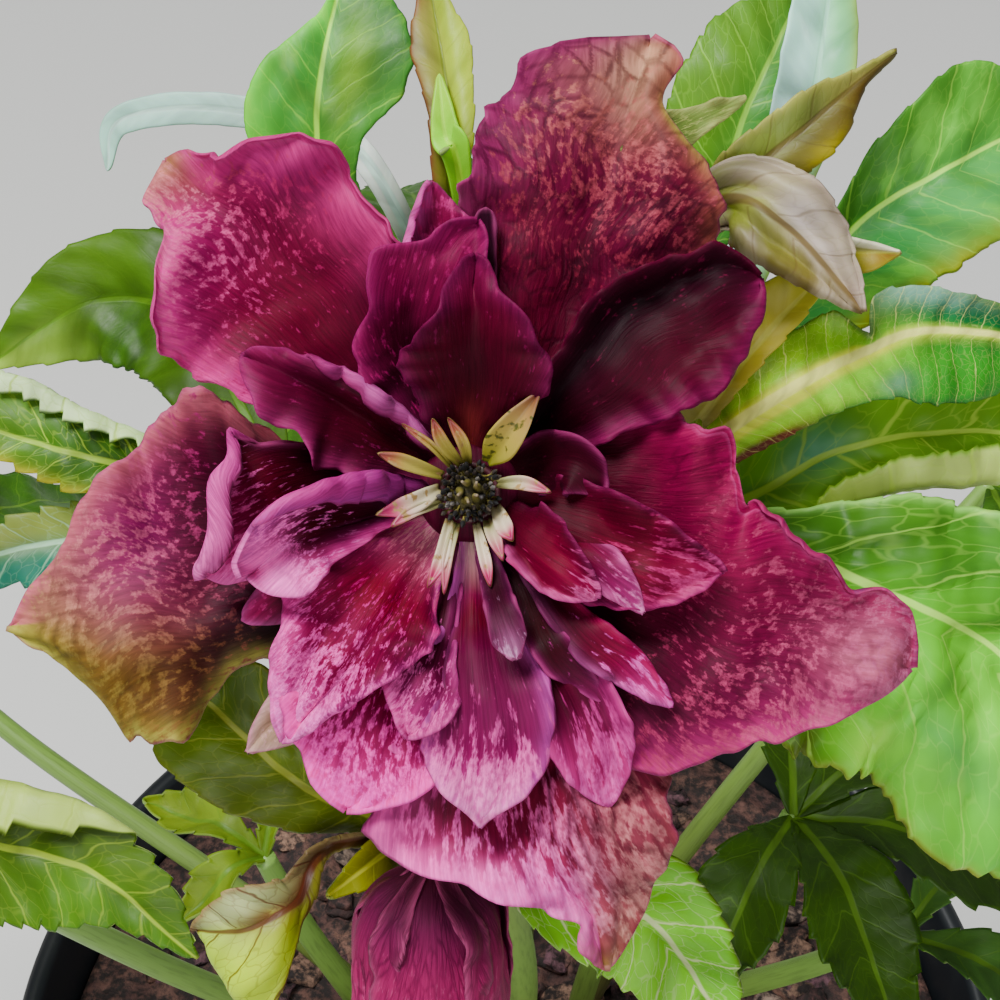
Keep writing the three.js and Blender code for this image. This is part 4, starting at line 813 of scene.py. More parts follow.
        "rim": "d070b8", "rimWidth": 0.9, "veins": "6c1040", "net": 0.3, "ripple": (0.5, 7),
        "pleats": (2.4, 0.35), "stretch": 2.4,
    },
    "bottomRight": {
        "rib": [[1, -2.9, 0], [6.5, -14, 5], [9.5, -20, 7], [12.5, -28, 5]],
        "left": [1, 1.6, 2.4, 4.2, 4.2, 1.6], "right": [1, 1.8, 2.6, 3.6, 3.2, 1.2], "tipRound": 0.12,
        "leftLift": [0, 1, 0], "rightLift": [0, 1, 0], "ground": "54001c 5c0828 741840 c84480",
        "marks": "8a2c58 983460 d45c9c f884c8", "cover": [0.1, 0.15, 0.4, 0.7], "rim": "c85090",
        "rimWidth": 0.9, "veins": "5a0830", "net": 0.2, "pleats": (2.4, 0.35), "stretch": 2.6,
    },
    "lilacFlap": {
        "rib": [[0.8, -2.6, 2], [3, -11, 9.4], [4.2, -14.6, 10.2]], "left": [0.6, 1.4, 1.7, 0.5],
        "right": [0.6, 1.3, 1.6, 0.5], "ground": "40061c 44081e 702c4c b87c9c", "marks": "d8a8c8",
        "cover": [0, 0, 0.2, 0.6], "rim": ("703058", "743458"), "rimWidth": 0.5, "stretch": 1.6,
        "patches": [(0.85, 0, 0.25, 0.7, "c08cac", 0.7)],
    },
    "narrowOuter": {
        "rib": [[2.2, -2, 0.6], [9.5, -11.5, 7], [14, -15, 8], [18, -19, 6.5]],
        "left": [0.7, 1.4, 1.8, 1.4, 0.4], "right": [0.7, 1.8, 2.4, 2, 0.4], "rightLift": [0, 1, 0],
        "ground": "3c0014 600228 94044c e04c9c", "marks": "f880cc", "cover": [0, 0.05, 0.35, 0.85],
        "rim": ("a80c4c", "c87cac"), "rimWidth": (0.6, 0.5), "edge": "944874",
        "patches": [(0.3, 1, 0.24, 0.5, "4c0824", 0.9)], "stretch": 1.8,
    },
    "narrowInner": {
        "rib": [[1.6, -2.4, 1.4], [6.5, -12.5, 7], [9.5, -16, 8], [12, -18.5, 7]],
        "left": [0.7, 1.6, 1.8, 1.2, 0.4], "ground": "3c0014 4c0420 842454", "marks": "a84880",
        "cover": 0.1, "rim": "a04478", "rimWidth": 0.4,
    },
    "rightFront": {
        "rib": [[2.8, -0.9, 1], [9, -3.5, 6.6], [16, -6, 8.4], [22.5, -7, 7]],
        "left": [1, 4, 4.8, 4.4, 2.6, 0.5], "right": [1, 4, 5.6, 5, 3.4, 0.5], "leftLift": [0, 2, 1],
        "ground": "3a0012 600224 7c0630 9c1c50", "marks": "7a1038 a82858 c84c80 d86c9c",
        "cover": [0, 0.15, 0.4, 0.7], "rim": ("680e34", "b84880"), "rimWidth": 0.6, "pleats": (1.8, 0.5),
        "stretch": 2.0, "edge": "a04070", "ripple": (0.7, 6),
    },
    "rightTip": {
        "rib": [[3, -1.6, 2], [9, -5, 7.2], [12.4, -7.6, 9.2], [15.3, -10.6, 8.8]],
        "left": [0.5, 1.6, 2.2, 2.4, 1.6, 0.5], "right": [0.5, 1.2, 1.8, 1.8, 1.2, 0.5], "tipRound": 0.14,
        "ground": "54001c 740428 8c2458 b84c88", "marks": "8a1c44 b04070 e080b4 f8a8d4",
        "cover": [0, 0.2, 0.4, 0.6], "rim": "e080b4", "rimWidth": 0.5, "stretch": 1.6, "pleats": (1.2, 0.3),
    },
    "rightLower": {
        "rib": [[2.2, -1.4, 1.6], [5, -4.6, 8], [8.2, -7.2, 10.2], [11.2, -9.2, 9.6]],
        "left": [1, 3, 3.8, 3.2, 2, 0.5], "right": [1, 1.5, 2.3, 2.4, 1.7, 0.5], "leftLift": [0, 1.5, 1],
        "ground": "3a0012 6c0228 840634 a82458", "marks": "7a1038 b03060 e070a4 f088bc",
        "cover": [0, 0.1, 0.25, 0.6], "rim": ("6a1036", "e078ac"), "rimWidth": (0.5, 0.4), "edge": "9c4070",
        "stretch": 2.0, "pleats": (1.5, 0.4), "ripple": (0.6, 5), "rimCover": (0, 0.4),
    },
    "rightInner": {
        "rib": [[2.6, 0.8, 0.6], [6, 2.4, 3.8], [9.3, 2.2, 7.6], [12, 0, 7.4]],
        "left": [0.8, 2.4, 3, 2.4, 0.5], "leftLift": [0, 1, 1], "ground": "34000f 44001a 540424",
        "marks": "7a2048", "cover": 0.1, "rim": "7c2450", "rimWidth": 0.4, "edge": "a85880",
        "edgeLightShare": 0.5,
    },
    "tanTip": {
        "rib": [[-2, -3, -1.8], [-12, -16, -0.5], [-20.4, -23.8, 0.5]], "left": [1, 2.6, 3.2, 0.8],
        "right": [1, 2.6, 3.4, 0.8], "ground": "54001c 8c5058 c8b09c", "marks": "d8b4b0", "cover": 0.3,
        "rim": "d8b8b4", "rimWidth": 0.6, "tipRound": 0.12, "folds": [(0.7, 0.2, 0.2, 0.3, -1.0)],
    },
}
petalLook = {
    "veins": "3c0420", "net": 0.1, "crumple": 0.8, "ripple": (0.6, 6), "thickness": 0.5, "ragged": 0.05,
    # every petal has a painted rim highlight of this colour along its margin
    "depth": 0.35, "edge": "cc709c", "edgeLightShare": 0.45, "under": "8a2c58 b05088 c878a8",
}


def lathe(profile, sides, paint="808080", marks="606060"):
    # a profile of (radius, height) turned about the upright axis; its first and last points lie on the axis
    profile = np.asarray(profile, float)
    turn = 2 * np.pi * np.arange(sides) / sides
    ring = np.stack([np.cos(turn), np.sin(turn)], -1)
    middle = profile[1:-1]
    flat = middle[:, None, :1] * ring
    points = np.concatenate([flat, np.broadcast_to(middle[:, None, 1:], flat.shape[:2] + (1,))], -1)
    points = np.vstack([points.reshape(-1, 3), [[0, 0, profile[0, 1]], [0, 0, profile[-1, 1]]]])
    i, k = np.meshgrid(np.arange(len(middle) - 1), np.arange(sides), indexing="ij")
    following = (k + 1) % sides
    quads = np.stack([i * sides + k, i * sides + following, (i + 1) * sides + following,
                      (i + 1) * sides + k], -1).reshape(-1, 4)
    k = np.arange(sides)
    last = (len(middle) - 1) * sides
    foot = np.stack([np.full(sides, len(points) - 2), (k + 1) % sides, k], -1)
    top = np.stack([np.full(sides, len(points) - 1), last + k, last + (k + 1) % sides], -1)
    return plainPart(points, quads, np.vstack([foot, top]), linear(paint), linear(marks))


def placed(part, origin, axes):
    # a part moved to an origin, its own x, y, z laid along the three axes
    return {**part, "points": np.asarray(origin, float) + part["points"] @ np.asarray(axes, float)}


receptacle = {
    "profile": [[0, -7], [2.5, -7], [4.6, -4.5], [5.2, -1], [4.7, 2], [4, 3], [0, 3]], "sides": 48,
    "paint": "4a0824", "marks": "6a1834",
}
dome = placed(lathe(**receptacle), bloom["centre"], bloomAxes)
makePiece("outer_sepals", blades(outerSepals, "fine", 1, petalLook) + [dome], [petalTissue],
          ["bloom_petals"])
makePiece("inner_petals", blades(innerPetals, "middle", 20, petalLook), [petalTissue],
          ["bloom_petals"])

# Nectaries: feet and tips seen along the bloom's axis, close to those of the solids
nectaries = {
    "spots": [
        [[-1.6, 2.3], [-5.9, 6]], [[-0.8, 2.5], [-3.2, 6.4]], [[-0.1, 2.6], [-1.8, 6.5]],
        [[-2.4, 1.5], [-8, 3.4]], [[-2.7, 0.3], [-8.2, -2]], [[-2.5, -0.9], [-6.8, -3]],
        [[-1.8, -2.5], [-3.6, -8.4]], [[-1.1, -2.8], [-2.2, -9]], [[0.6, -2.8], [1.9, -8.3]],
        [[1.6, -2.5], [3, -6]], [[2.4, -1.3], [3.8, -4.2]], [[2.5, 0.8], [7.2, 0]],
    ],
    "halfWidths": [0.3, 0.55, 0.5, 0.65, 0.85, 0.5, 0.6, 0.42, 0.5, 0.6, 0.75, 0.6],
    "leafy": [[1.6, 2.7, 3.9], [3.6, 5.2, 7.4], [6.2, 8.8, 9.4]],
    "foot": 3.9, "middle": 6.4, "tip": 7.6, "bend": 0.4, "greener": 4,
    "tones": ("787438 a89c54 b09c58 9c6048 5c1428", "98906c d8ccb0 e4ccb8 b85470 6c0c34",
              "848050 b8b48c d0bca4 bc7480 8c1c4c"),
    "ring": (2.1, 2.9, 2.5, 3.5), "ringSides": (72, 12), "ringPaint": "4c1c28", "ringMarks": "5a3c28",
}


def makeNectaries():
    # slender pointed tongues on a low ring: each is a blade whose margins turn up, with a crease along it
    look = {"leftLift": [0.2, 0.35, 0], "rightLift": [0.2, 0.35, 0], "groove": (0.18, 0.3), "crumple": 0.06,
            "thickness": 0.3, "tipRound": 0.05, "narrowest": 0.06, "marks": "a88c64", "under": "a09058"}
    parts = []
    for k, (foot, tip) in enumerate(nectaries["spots"]):
        middle = np.add(foot, tip) / 2 + nectaries["bend"] * np.array([np.cos(3 * k), np.sin(3 * k)])
        rib = [[*foot, nectaries["foot"]], [*middle, nectaries["middle"]], [*tip, nectaries["tip"]]]
        half = nectaries["halfWidths"][k]
        widths = [0.6 * half, half, half, look["narrowest"]]
        tone = nectaries["tones"][0 if k < nectaries["greener"] else 1 + k % 2]
        shape = {**look, "rib": fromBloom(rib), "left": widths, "ground": tone}
        parts.append(blade(shape, bloomAxis, 60 + k, "tiny"))
    leafy = {**look, "rib": fromBloom(nectaries["leafy"]), "left": [0.5, 1.5, 1.3, 0.1],
             "right": [0.5, 1.5, 1.2, 0.1], "leftLift": [0.2, 0.8, 0.3], "rightLift": [0.2, 0.8, 0.3],
             "ground": "848830 a89c48 ac9850 a08054 6c2c30", "marks": "4a4c18", "crumple": 0.15}
    parts.append(blade(leafy, bloomAxis, 75, "small"))
    inner, outer, low, high = nectaries["ring"]
    count, sides = nectaries["ringSides"]
    turn, around = (np.linspace(0, 2 * np.pi, n + 1)[:-1] for n in (sides, count))
    radius = (inner + outer) / 2 + np.cos(turn) * (outer - inner) / 2 + 0 * around[:, None]
    height = (low + high) / 2 + np.sin(turn) * (high - low) / 2 + 0 * around[:, None]
    points = np.stack(aroundAxis(radius, around[:, None], height), -1).reshape(-1, 3)
    i, k = np.meshgrid(np.arange(count), np.arange(sides), indexing="ij")
    nextI, nextK = (i + 1) % count * sides, (k + 1) % sides
    quads = np.stack([i * sides + k, nextI + k, nextI + nextK, i * sides + nextK], -1).reshape(-1, 4)
    ring = plainPart(points, quads, np.zeros((0, 3), int), linear(nectaries["ringPaint"]),
                     linear(nectaries["ringMarks"]))
    return parts + [{**ring, "points": fromBloom(points)}]


makePiece("nectary_tongues", makeNectaries(), [nectaryWax], ["bloom_nectaries"])

# Heart of the bloom: [radius, height] on the receptacle, a cushion with stamens round the carpels
heart = {
    "floor": 3.3, "cushion": [[0, 0], [2.1, 0], [2.05, 0.9], [1.6, 1.6], [1.0, 2.0], [0, 2.2]],
    "carpels": 5, "carpelStart": 0.5, "carpelLean": (0.8, 1.2), "carpelRadii": [0.34, 0.4, 0.2, 0.12],
    "carpelSteps": ((0.45, 0, 0.8), (0.85, 0, 2.6), (0.7, 0.2, 3.9), (1.0, 0.4, 4.6)),  # radius, twist, rise
    "carpelColours": "2c3010 4c4820 6c6430 8c8070",
    "stamens": 110, "goldenAngle": 2.39996, "ring": (0.7, 1.2), "reach": (0.2, 1.4), "rise": (1.8, 4.0),
    "bend": 0.25, "stamenRadii": [0.09, 0.08, 0.08, 0.1, 0.24, 0.2, 0.03], "seed": 5,
    "filaments": ["6a6434", "8a8040", "a09450"],
    "anthers": ["080608", "100c0c", "181210", "241c14", "3c3428", "74706c"],
}


def makeHeart():
    # leaning carpels in the middle, and stamens at sqrt(k) of the ring's width, a golden angle apart
    draw = np.random.default_rng(heart["seed"])
    floor = heart["floor"]
    cushion = [[radius, height + floor] for radius, height in heart["cushion"]]
    parts = [placed(lathe(cushion, 40, paint="4c4420", marks="221a10"), bloom["centre"], bloomAxes)]
    for k in range(heart["carpels"]):
        turn = 2 * np.pi * k / heart["carpels"] + heart["carpelStart"]
        lean = draw.uniform(*heart["carpelLean"])
        path = [aroundAxis(radius * spread, turn + twist, floor + rise)
                for (radius, twist, rise), spread in zip(heart["carpelSteps"], (1, 1, lean, lean))]
        parts.append(tube(fromBloom(path), heart["carpelRadii"], heart["carpelColours"], k, 10, 14, finish=0))
    innermost, width = heart["ring"]
    for k in range(heart["stamens"]):
        turn = heart["goldenAngle"] * k
        root = innermost + width * np.sqrt((k + 0.5) / heart["stamens"])
        reach = root + draw.uniform(*heart["reach"])
        height = floor + draw.uniform(*heart["rise"])
        bend = turn + draw.uniform(-heart["bend"], heart["bend"])
        tone = heart["filaments"][k % len(heart["filaments"])]
        knob = heart["anthers"][int(draw.integers(0, len(heart["anthers"])))]
        path = [aroundAxis(root, turn, floor + 1),
                aroundAxis((root + reach) / 2, bend, (floor + 1 + height) / 2),
                aroundAxis(reach, bend, height)]
        colours = " ".join([tone] * 3 + [knob] * 2)
        parts.append(tube(fromBloom(path), heart["stamenRadii"], colours, k, 6, 12, finish=0))
    return parts


antherDust = makeFleck("antherDust", 0.75)
makePiece("carpels_and_stamens", makeHeart(), [antherDust], ["bloom_centre"])

# Bud: five sepals folded round a core, hung from its stalk with its long axis down and a little forward
bud = {
    "top": [-4, -36.8, -12.6], "lean": 150, "start": 0.3, "sepals": 5,
    "core": [[0, 0], [1.6, 1], [3.4, 4], [4.6, 8], [5.2, 13], [5, 17], [4, 21], [2.2, 24], [0, 25]],
    "rib": [[1, -0.4], [5.9, 3.2], [7.3, 10.5], [6.7, 20], [3.4, 27.6]],
    "sepal": {
        "left": [1.8, 5.2, 5.9, 5.5, 3.8, 0.5],
        "leftLift": [0, -2.2, -2.6, -1.9, 0], "rightLift": [0, -1.6, -1.8, -1.3, 0],
        "ground": "6c3c48 84385c b03c6c cc4884 c8508c", "cover": [0, 0.15, 0.45, 0.5],
        "marks": "94506c b4587c e084a8 f0a0c0",
        "rim": "c07090", "rimWidth": 0.5, "veins": "48082c", "net": 0.45, "under": "6a1c40", "stretch": 1.8,
        "fan": 24.0, "crumple": 0.5, "ripple": (0.3, 9), "tipRound": 0.08, "depth": 0.35, "coarse": 0.7,
        "pleats": (2.4, 0.22), "ragged": 0.04,
    },
    "dull": 3, "dullLook": {"ground": "6c5040 7c5850 8c6860 94586a", "marks": "bc9490", "veins": "4c1430"},
}
budLean = np.radians(bud["lean"])
budAxes = np.array([[1, 0, 0], [0, np.cos(budLean), np.sin(budLean)], [0, -np.sin(budLean), np.cos(budLean)]])
budTop = fromBloom(bud["top"])


def makeBud():
    # the sepals are one blade turned about the core in even steps, one of them in duller colours
    parts = [placed(lathe(bud["core"], 40, paint="6a1a3e", marks="8a3458"), budTop, budAxes)]
    for k in range(bud["sepals"]):
        turn = 2 * np.pi * k / bud["sepals"] + bud["start"]
        outwards = np.array([np.cos(turn), np.sin(turn), 0])
        rib = [outwards * radius + [0, 0, height] for radius, height in bud["rib"]]
        look = {**bud["sepal"], **(bud["dullLook"] if k == bud["dull"] else {})}
        look["rib"] = budTop + np.array(rib) @ budAxes
        parts.append(blade(look, outwards @ budAxes, 90 + k, "middle"))
    return parts


makePiece("nodding_bud", makeBud(), [petalTissue], ["bud"])

# Stalks of the flower stem (bloom's frame) and the leafy bracts at its fork
fork = [-3, -36, -31]
flowerStem = {
    "stem": {
        "path": [[4, -119, -236], [4, -115, -231], [6, -80, -150], [3, -50, -72], fork],
        "radii": [3.2, 3.2, 2.8, 2.3, 2], "grid": (20, 120),
        "colours": "6a3048 84503c 7f9a52 86a058 8a7a58",
    },
    "bloomStalk": {
        "path": [fork, [-1, -22, -27], [0, -4, -17], [0, 0, -11], [0, 0, -7.3]],
        "radii": [2, 1.6, 1.6, 2, 2.3], "grid": (20, 40), "colours": "8a7a58 8a5048 5a1a2c",
    },
    "budStalk": {
        "path": [fork, [-5, -35, -22], [-4, -35.5, -14.5]], "radii": [1.8, 1.4, 1.3], "grid": (18, 30),
        "colours": "8a7a58 94a060 7a7a48",
    },
}
leafLook = {
    "fan": 0, "teeth": (3.1, 1.1), "quilt": 0.34, "crumple": 0.7, "groove": (0.35, 0.9), "thickness": 0.5,
    "tipRound": 0.03, "net": 0.55, "spacing": 5.2, "cover": 0.15, "under": "8aa060 90a868 8aa464",
    "ragged": 0.025,
}
stemBracts = {
    "belowRight": {
        "rib": [fork, [9, -40, -24], [18.4, -43.6, -20], [27.9, -58.3, -25]],
        "left": [1, 5, 7, 7, 5.5, 0.5], "right": [1, 4, 7, 8, 6, 0.6],
        "ground": ("4a7a18 6cb80c 78d010 70c814", "4a7a18 78c818 8ce024 80d820"), "marks": "b0f050",
        "veins": "f4ffc0", "rim": ("5c6c18", "84c030"), "rimWidth": 0.5, "cover": 0.1, "teeth": (3.1, 0.6),
        "quilt": 0.5,
    },
    "underLeft": {
        "rib": [fork, [-15, -30, -16], [-24, -22, -12], [-34, -13, -16]],
        "left": [1, 2.4, 5.5, 7.5, 6.5, 0.5], "right": [1, 3, 6, 7, 5, 0.5],
        "ground": ("485008 506008 546c0c 284c0c", "5c5828 58680c 4c640c 244808"), "marks": "6c8420",
        "veins": "98a040", "rim": "5c6410", "rimWidth": 0.5, "teeth": (3.4, 0.3), "net": 0.3,
    },
    "keel": {
        "rib": [fork, [-14, -35, -15], [-17, -39.5, -10], [-22, -42, -9], [-27, -42.5, -12]],
        "left": [0.8, 0.8, 1, 1.4, 2, 5, 8.5, 7, 0.5], "right": [0.8, 0.8, 1, 1.6, 3, 4, 4.4, 3, 0.5],
        "leftLift": [0, -1, -2], "rightLift": [0, 1, 1],
        "ground": ("8a7048 7c7c30 a0b414 b0cc14 98bc1c", "5c3028 745848 a0a878 a8b084 a0a870"),
        "marks": "b8cc50", "veins": "4c2010", "net": 0.6, "rim": ("8a7a40", "8a7858"), "rimWidth": 0.5,
        "teeth": (2.6, 0.3), "quilt": 0.5, "cover": 0.1,
        "patches": [(0.42, 0, 0.22, 0.7, "4c2418", 1.0), (0.64, 0.12, 0.14, 0.2, "5c3420", 0.9)],
    },
    "stub": {
        "rib": [fork, [-8, -36, -20], [-14, -39.5, -14]], "left": [1, 2, 2.6, 0.5], "right": [1, 2, 2, 0.5],
        "ground": "5c4820 6c6410 848c18", "marks": "74741c", "veins": "b0b040", "net": 0.2,
        "teeth": (2.6, 0.2), "quilt": 0.1,
    },
}
stalks = [tube(fromBloom(stalk["path"]), stalk["radii"], stalk["colours"], k + 1, *stalk["grid"])
          for k, stalk in enumerate(flowerStem.values())]
bracts = blades(stemBracts, "leaf", 110, leafLook)
makePiece("stem_and_bracts", stalks + bracts, [leafBlade, stalkSkin], ["flower_stem"])

khakiBract = {
    "lower": {
        "rib": [[1.95, 0.9, -11], [14, 16, -8], [23, 27.4, -7], [29.4, 24.8, -4], [37, 17, -5]],
        "left": [0.7, 0.8, 1, 1.6, 3, 4.8, 5.4, 3.6, 0.3], "right": [0.7, 0.8, 1, 1.6, 3, 4.4, 4.4, 3, 0.3],
        "leftLift": [0, 0, 1], "rightLift": [0, 0, -1.5],
        "ground": ("5a3a3c 8a7450 848c38 94886c 8c786c", "5a3a3c 807040 7c8c2c 808040 786838"),
        "marks": "b8ac98", "veins": "6a5838",
        "patches": [(0.8, -0.35, 0.1, 0.3, "e8dcd8", 0.9), (0.62, 0.1, 0.05, 0.4, "b0b860", 0.6)],
        "rim": ("b8a89c", "4c3418"), "rimWidth": (0.9, 1.2), "cover": 0.35, "pleats": (3.2, 0.6),
        "crumple": 1.0,
    },
    "upper": {
        "rib": [[18, 21, -7.8], [25, 29, -8], [32, 35, -7], [40.6, 42.2, -8]],
        "left": [0.6, 1.5, 2.6, 3.2, 3.2, 3, 2.6, 1.2, 0.3],
        "right": [0.6, 1.4, 2.4, 3, 3.4, 3.8, 3.2, 0.8, 0.3], "leftLift": [0, 0.5, 0.5],
        "rightLift": [0, -1, -1], "ground": ("78843c 788438 6c783c 907c50", "888c4c 706c38 5c5428 5c441c"),
        "marks": "94985c", "veins": "544824", "rim": ("a0a058", "50380c"), "rimWidth": (0.6, 0.7),
        "cover": 0.2, "patches": [(0.66, 0.95, 0.08, 0.35, "988c08", 1.0)],
    },
    "curledTip": {
        "rib": [[32, 24.5, -7.6], [36, 23.2, -7], [40.9, 22.8, -7]], "left": [0.6, 0.9, 0.8, 0.2],
        "right": [0.6, 1.8, 2.2, 0.2], "leftLift": [0, 0.8, 0], "teeth": None,
        "ground": "7c7c2c 888414 7c4c20", "marks": "a0983c", "veins": "8c8830", "net": 0.1,
        "rim": ("f4f0d0", "8c8420"), "rimWidth": (0.7, 0.3),
    },
}
bractLook = {**leafLook, "teeth": (2.6, 0.25), "quilt": 0.15, "net": 0.25}
makePiece("khaki_bract", blades(khakiBract, "leaf", 130, bractLook), [leafBlade], ["bract_khaki"])

# Leaves: hubs and leaflets in the bloom's frame, stalks from 12 mm under the soil in the plant's frame
hubs = {"right": [18, 0, -28], "top": [1, 10, -37], "left": [-22, 0, -47], "lowerLeft": [-70, -33, -36]}
leafStalks = {
    "right": [[12, -4, 148], [13, -6, 200], [19, -24, 300]],
    "top": [[2, 11, 148], [3, 12, 210], [3, -2, 310]],
    "left": [[-12, 1, 148], [-15, 0, 210], [-23, -13, 300]],
    "lowerLeft": [[-10, -10, 148], [-18, -18, 200], [-50, -44, 290]],
}
stalkLook = {"radii": [2.4, 2.2, 1.9, 1.6], "colours": "5a3a3c 74884a 82a458 8ab060", "sides": 16, "rows": 90}
leafRight = {
    "upRight": {
        "rib": [hubs["right"], [33, 19, -33], [41, 28.8, -32], [50, 34.4, -31], [64, 42, -36]],
        "left": [1, 2, 2.5, 2.6, 3.2, 6, 7.8, 8.8, 0.5], "right": [1, 3, 6, 9, 10.2, 10, 9.6, 8.8, 0.5],
        "leftLift": [0, 1, 2], "rightLift": [0, -1, -1],
        "ground": ("285810 306810 448428 549834", "287034 3c9048 489850 509848"), "marks": "70bc48",
        "veins": "c0f868", "rim": (None, "98a008"), "rimWidth": 2.0, "teeth": (3.4, 0.25), "net": 0.15,
        "quilt": 0.25, "groove": (0.6, 1.0), "cover": 0.3,
        "patches": [(0.75, -0.2, 0.1, 0.25, "4a8438", 0.7), (0.8, 0.35, 0.1, 0.3, "70c070", 0.7)],
    },
    "mint": {
        "rib": [hubs["right"], [31, 31, -20], [34.5, 43, -16], [36, 57, -18]],
        "left": [0.6, 2, 3, 3.8, 4, 3.4, 0.5], "right": [0.6, 2, 3, 3.6, 3.6, 3, 0.5],
        "leftLift": [0, 1, 1.5], "rightLift": [0, -1, -1],
        "ground": ("90d0a8 d8fff8 c4f4e4 b0ecc8", "90d0a8 c8f8d8 98e0a8 a0e898"), "marks": "d8fff0",
        "veins": "b8f0d0", "teeth": None, "net": 0.0, "quilt": 0.1, "crumple": 0.9, "rim": (None, "b8e070"),
        "rimWidth": 0.8,
    },
    "yellow": {
        "rib": [hubs["right"], [25.5, 11.5, -14], [31.5, 18.5, -12], [36, 23, -14]],
        "left": [0.6, 3, 5, 2.6, 0.5], "right": [0.6, 1.5, 1.8, 1.5, 0.5],
        "ground": "74742c 988c34 a09838 8c8c28", "marks": "b0a850", "veins": "a8a450", "teeth": (3, 0.3),
        "net": 0.1, "quilt": 0.15,
    },
    "thickRib": {
        "rib": [hubs["right"], [28, 8.2, -16], [37.5, 13.4, -16], [46, 16.2, -18], [62, 15, -24]],
        "left": [1, 3, 4.6, 5, 5.2, 5, 4.4, 3, 0.5], "right": [1, 3, 4.2, 4.4, 4.8, 6, 7.2, 6.5, 0.5],
        "leftLift": [0, 1, 1], "rightLift": [0, -2, -2], "leftLobes": [(0.565, 0.035, -3.6)],
        "ground": ("5c7408 70900c 78b010 1c6030 1c6020", "7c9828 a0e030 48ac20 2c8424"), "marks": "80b830",
        "veins": "ffffa0", "rim": ("4c6c08", "3c7c40"), "rimWidth": 0.6,
        # patches: yellow-green by the rib; a cream band along the rib, its own pale colour with a painted
        # highlight; a brown edge; a tan line; two pale blue-grey painted sheens
        "patches": [(0.26, 0.3, 0.16, 0.5, "a8f020", 1.6), (0.5, 0.2, 0.14, 0.36, "90f020", 1.6),
                    (0.24, 0.12, 0.14, 0.16, "f4ff58", 6.0), (0.46, 0.04, 0.12, 0.11, "f0ff50", 6.0),
                    (0.66, 0, 0.14, 0.06, "ecff50", 6.0), (0.9, 0, 0.14, 0.05, "ecff58", 4.0),
                    (0.19, 0.95, 0.13, 0.22, "6c3024", 2.0), (0.3, -0.16, 0.2, 0.05, "c08060", 0.6),
                    (0.62, 0.72, 0.07, 0.2, "9cc8b8", 0.6), (0.72, -0.9, 0.1, 0.3, "a8d8c8", 0.6)],
        "teeth": (3.2, 0.25), "groove": (-0.9, 1.2), "spacing": 2.4, "slant": 0.5, "quilt": 0.25,
        "net": 0.25, "cover": 0.0,
    },
    "dark": {
        "rib": [hubs["right"], [27, -1, -26], [38, 4.5, -25], [52, 6.5, -27], [66, 5, -32]],
        "left": [1, 5, 7, 7, 6, 0.5], "right": [1, 4, 5, 5, 4.8, 0.5],
        "ground": ("5c9010 689c0c 609408 5c900c", "5c9010 6ca00c 60940c 548810"), "marks": "78b440",
        "veins": "b4d458", "cover": 0.2, "quilt": 0.5, "spacing": 9.0, "net": 0.4,
        # patches: two bluish painted sheens on the blade
        "patches": [(0.45, -0.1, 0.07, 0.4, "5ca080", 0.8), (0.28, 0, 0.06, 0.5, "4c8c50", 0.5)],
        "under": "7c9030 9cb850 b8cc78 a8c460",
        "rolls": [{"side": "right", "span": (0.22, 1.3), "width": 5.4, "angle": 165, "radius": 0.5,
                   "teeth": (1.9, 0.09, 3)}],
    },
    "big": {
        "rib": [hubs["right"], [34.5, -7, -20], [44, -11, -21], [55, -17, -25], [78, -35, -40]],
        "left": [1, 2.5, 6.8, 9.8, 11.4, 12, 12.5, 11, 0.6],
        "right": [1, 9, 16, 19, 19, 18.5, 18.6, 20.5, 0.6], "rightLift": [0, -3, -4],
        "rightLobes": [(0.94, 0.04, 5)],
        "ground": ("306010 3c7014 448424 4c9030", "3c7010 4c9414 68d420 78d834 54b840"), "marks": "80d83c",
        "veins": "c4f874",
        # the first patch is dark olive where the blade curls under the right sepal: its underside colour and
        # painted shade
        "patches": [(0.42, 0.97, 0.1, 0.32, "4c5808", 1.0), (0.6, 0.8, 0.07, 0.16, "b8ff58", 0.8),
                    (0.75, 0.55, 0.1, 0.12, "4c9c5c", 0.6), (0.68, 0.35, 0.06, 0.14, "3c7828", 0.7)],
        "rim": ("b0f080", "a0a838"), "rimWidth": 0.6, "spacing": 9.5, "slant": 1.7, "quilt": 1.3,
        "teeth": (4.6, 0.4), "crumple": 1.5, "net": 0.3, "cover": 0.12,
    },
}
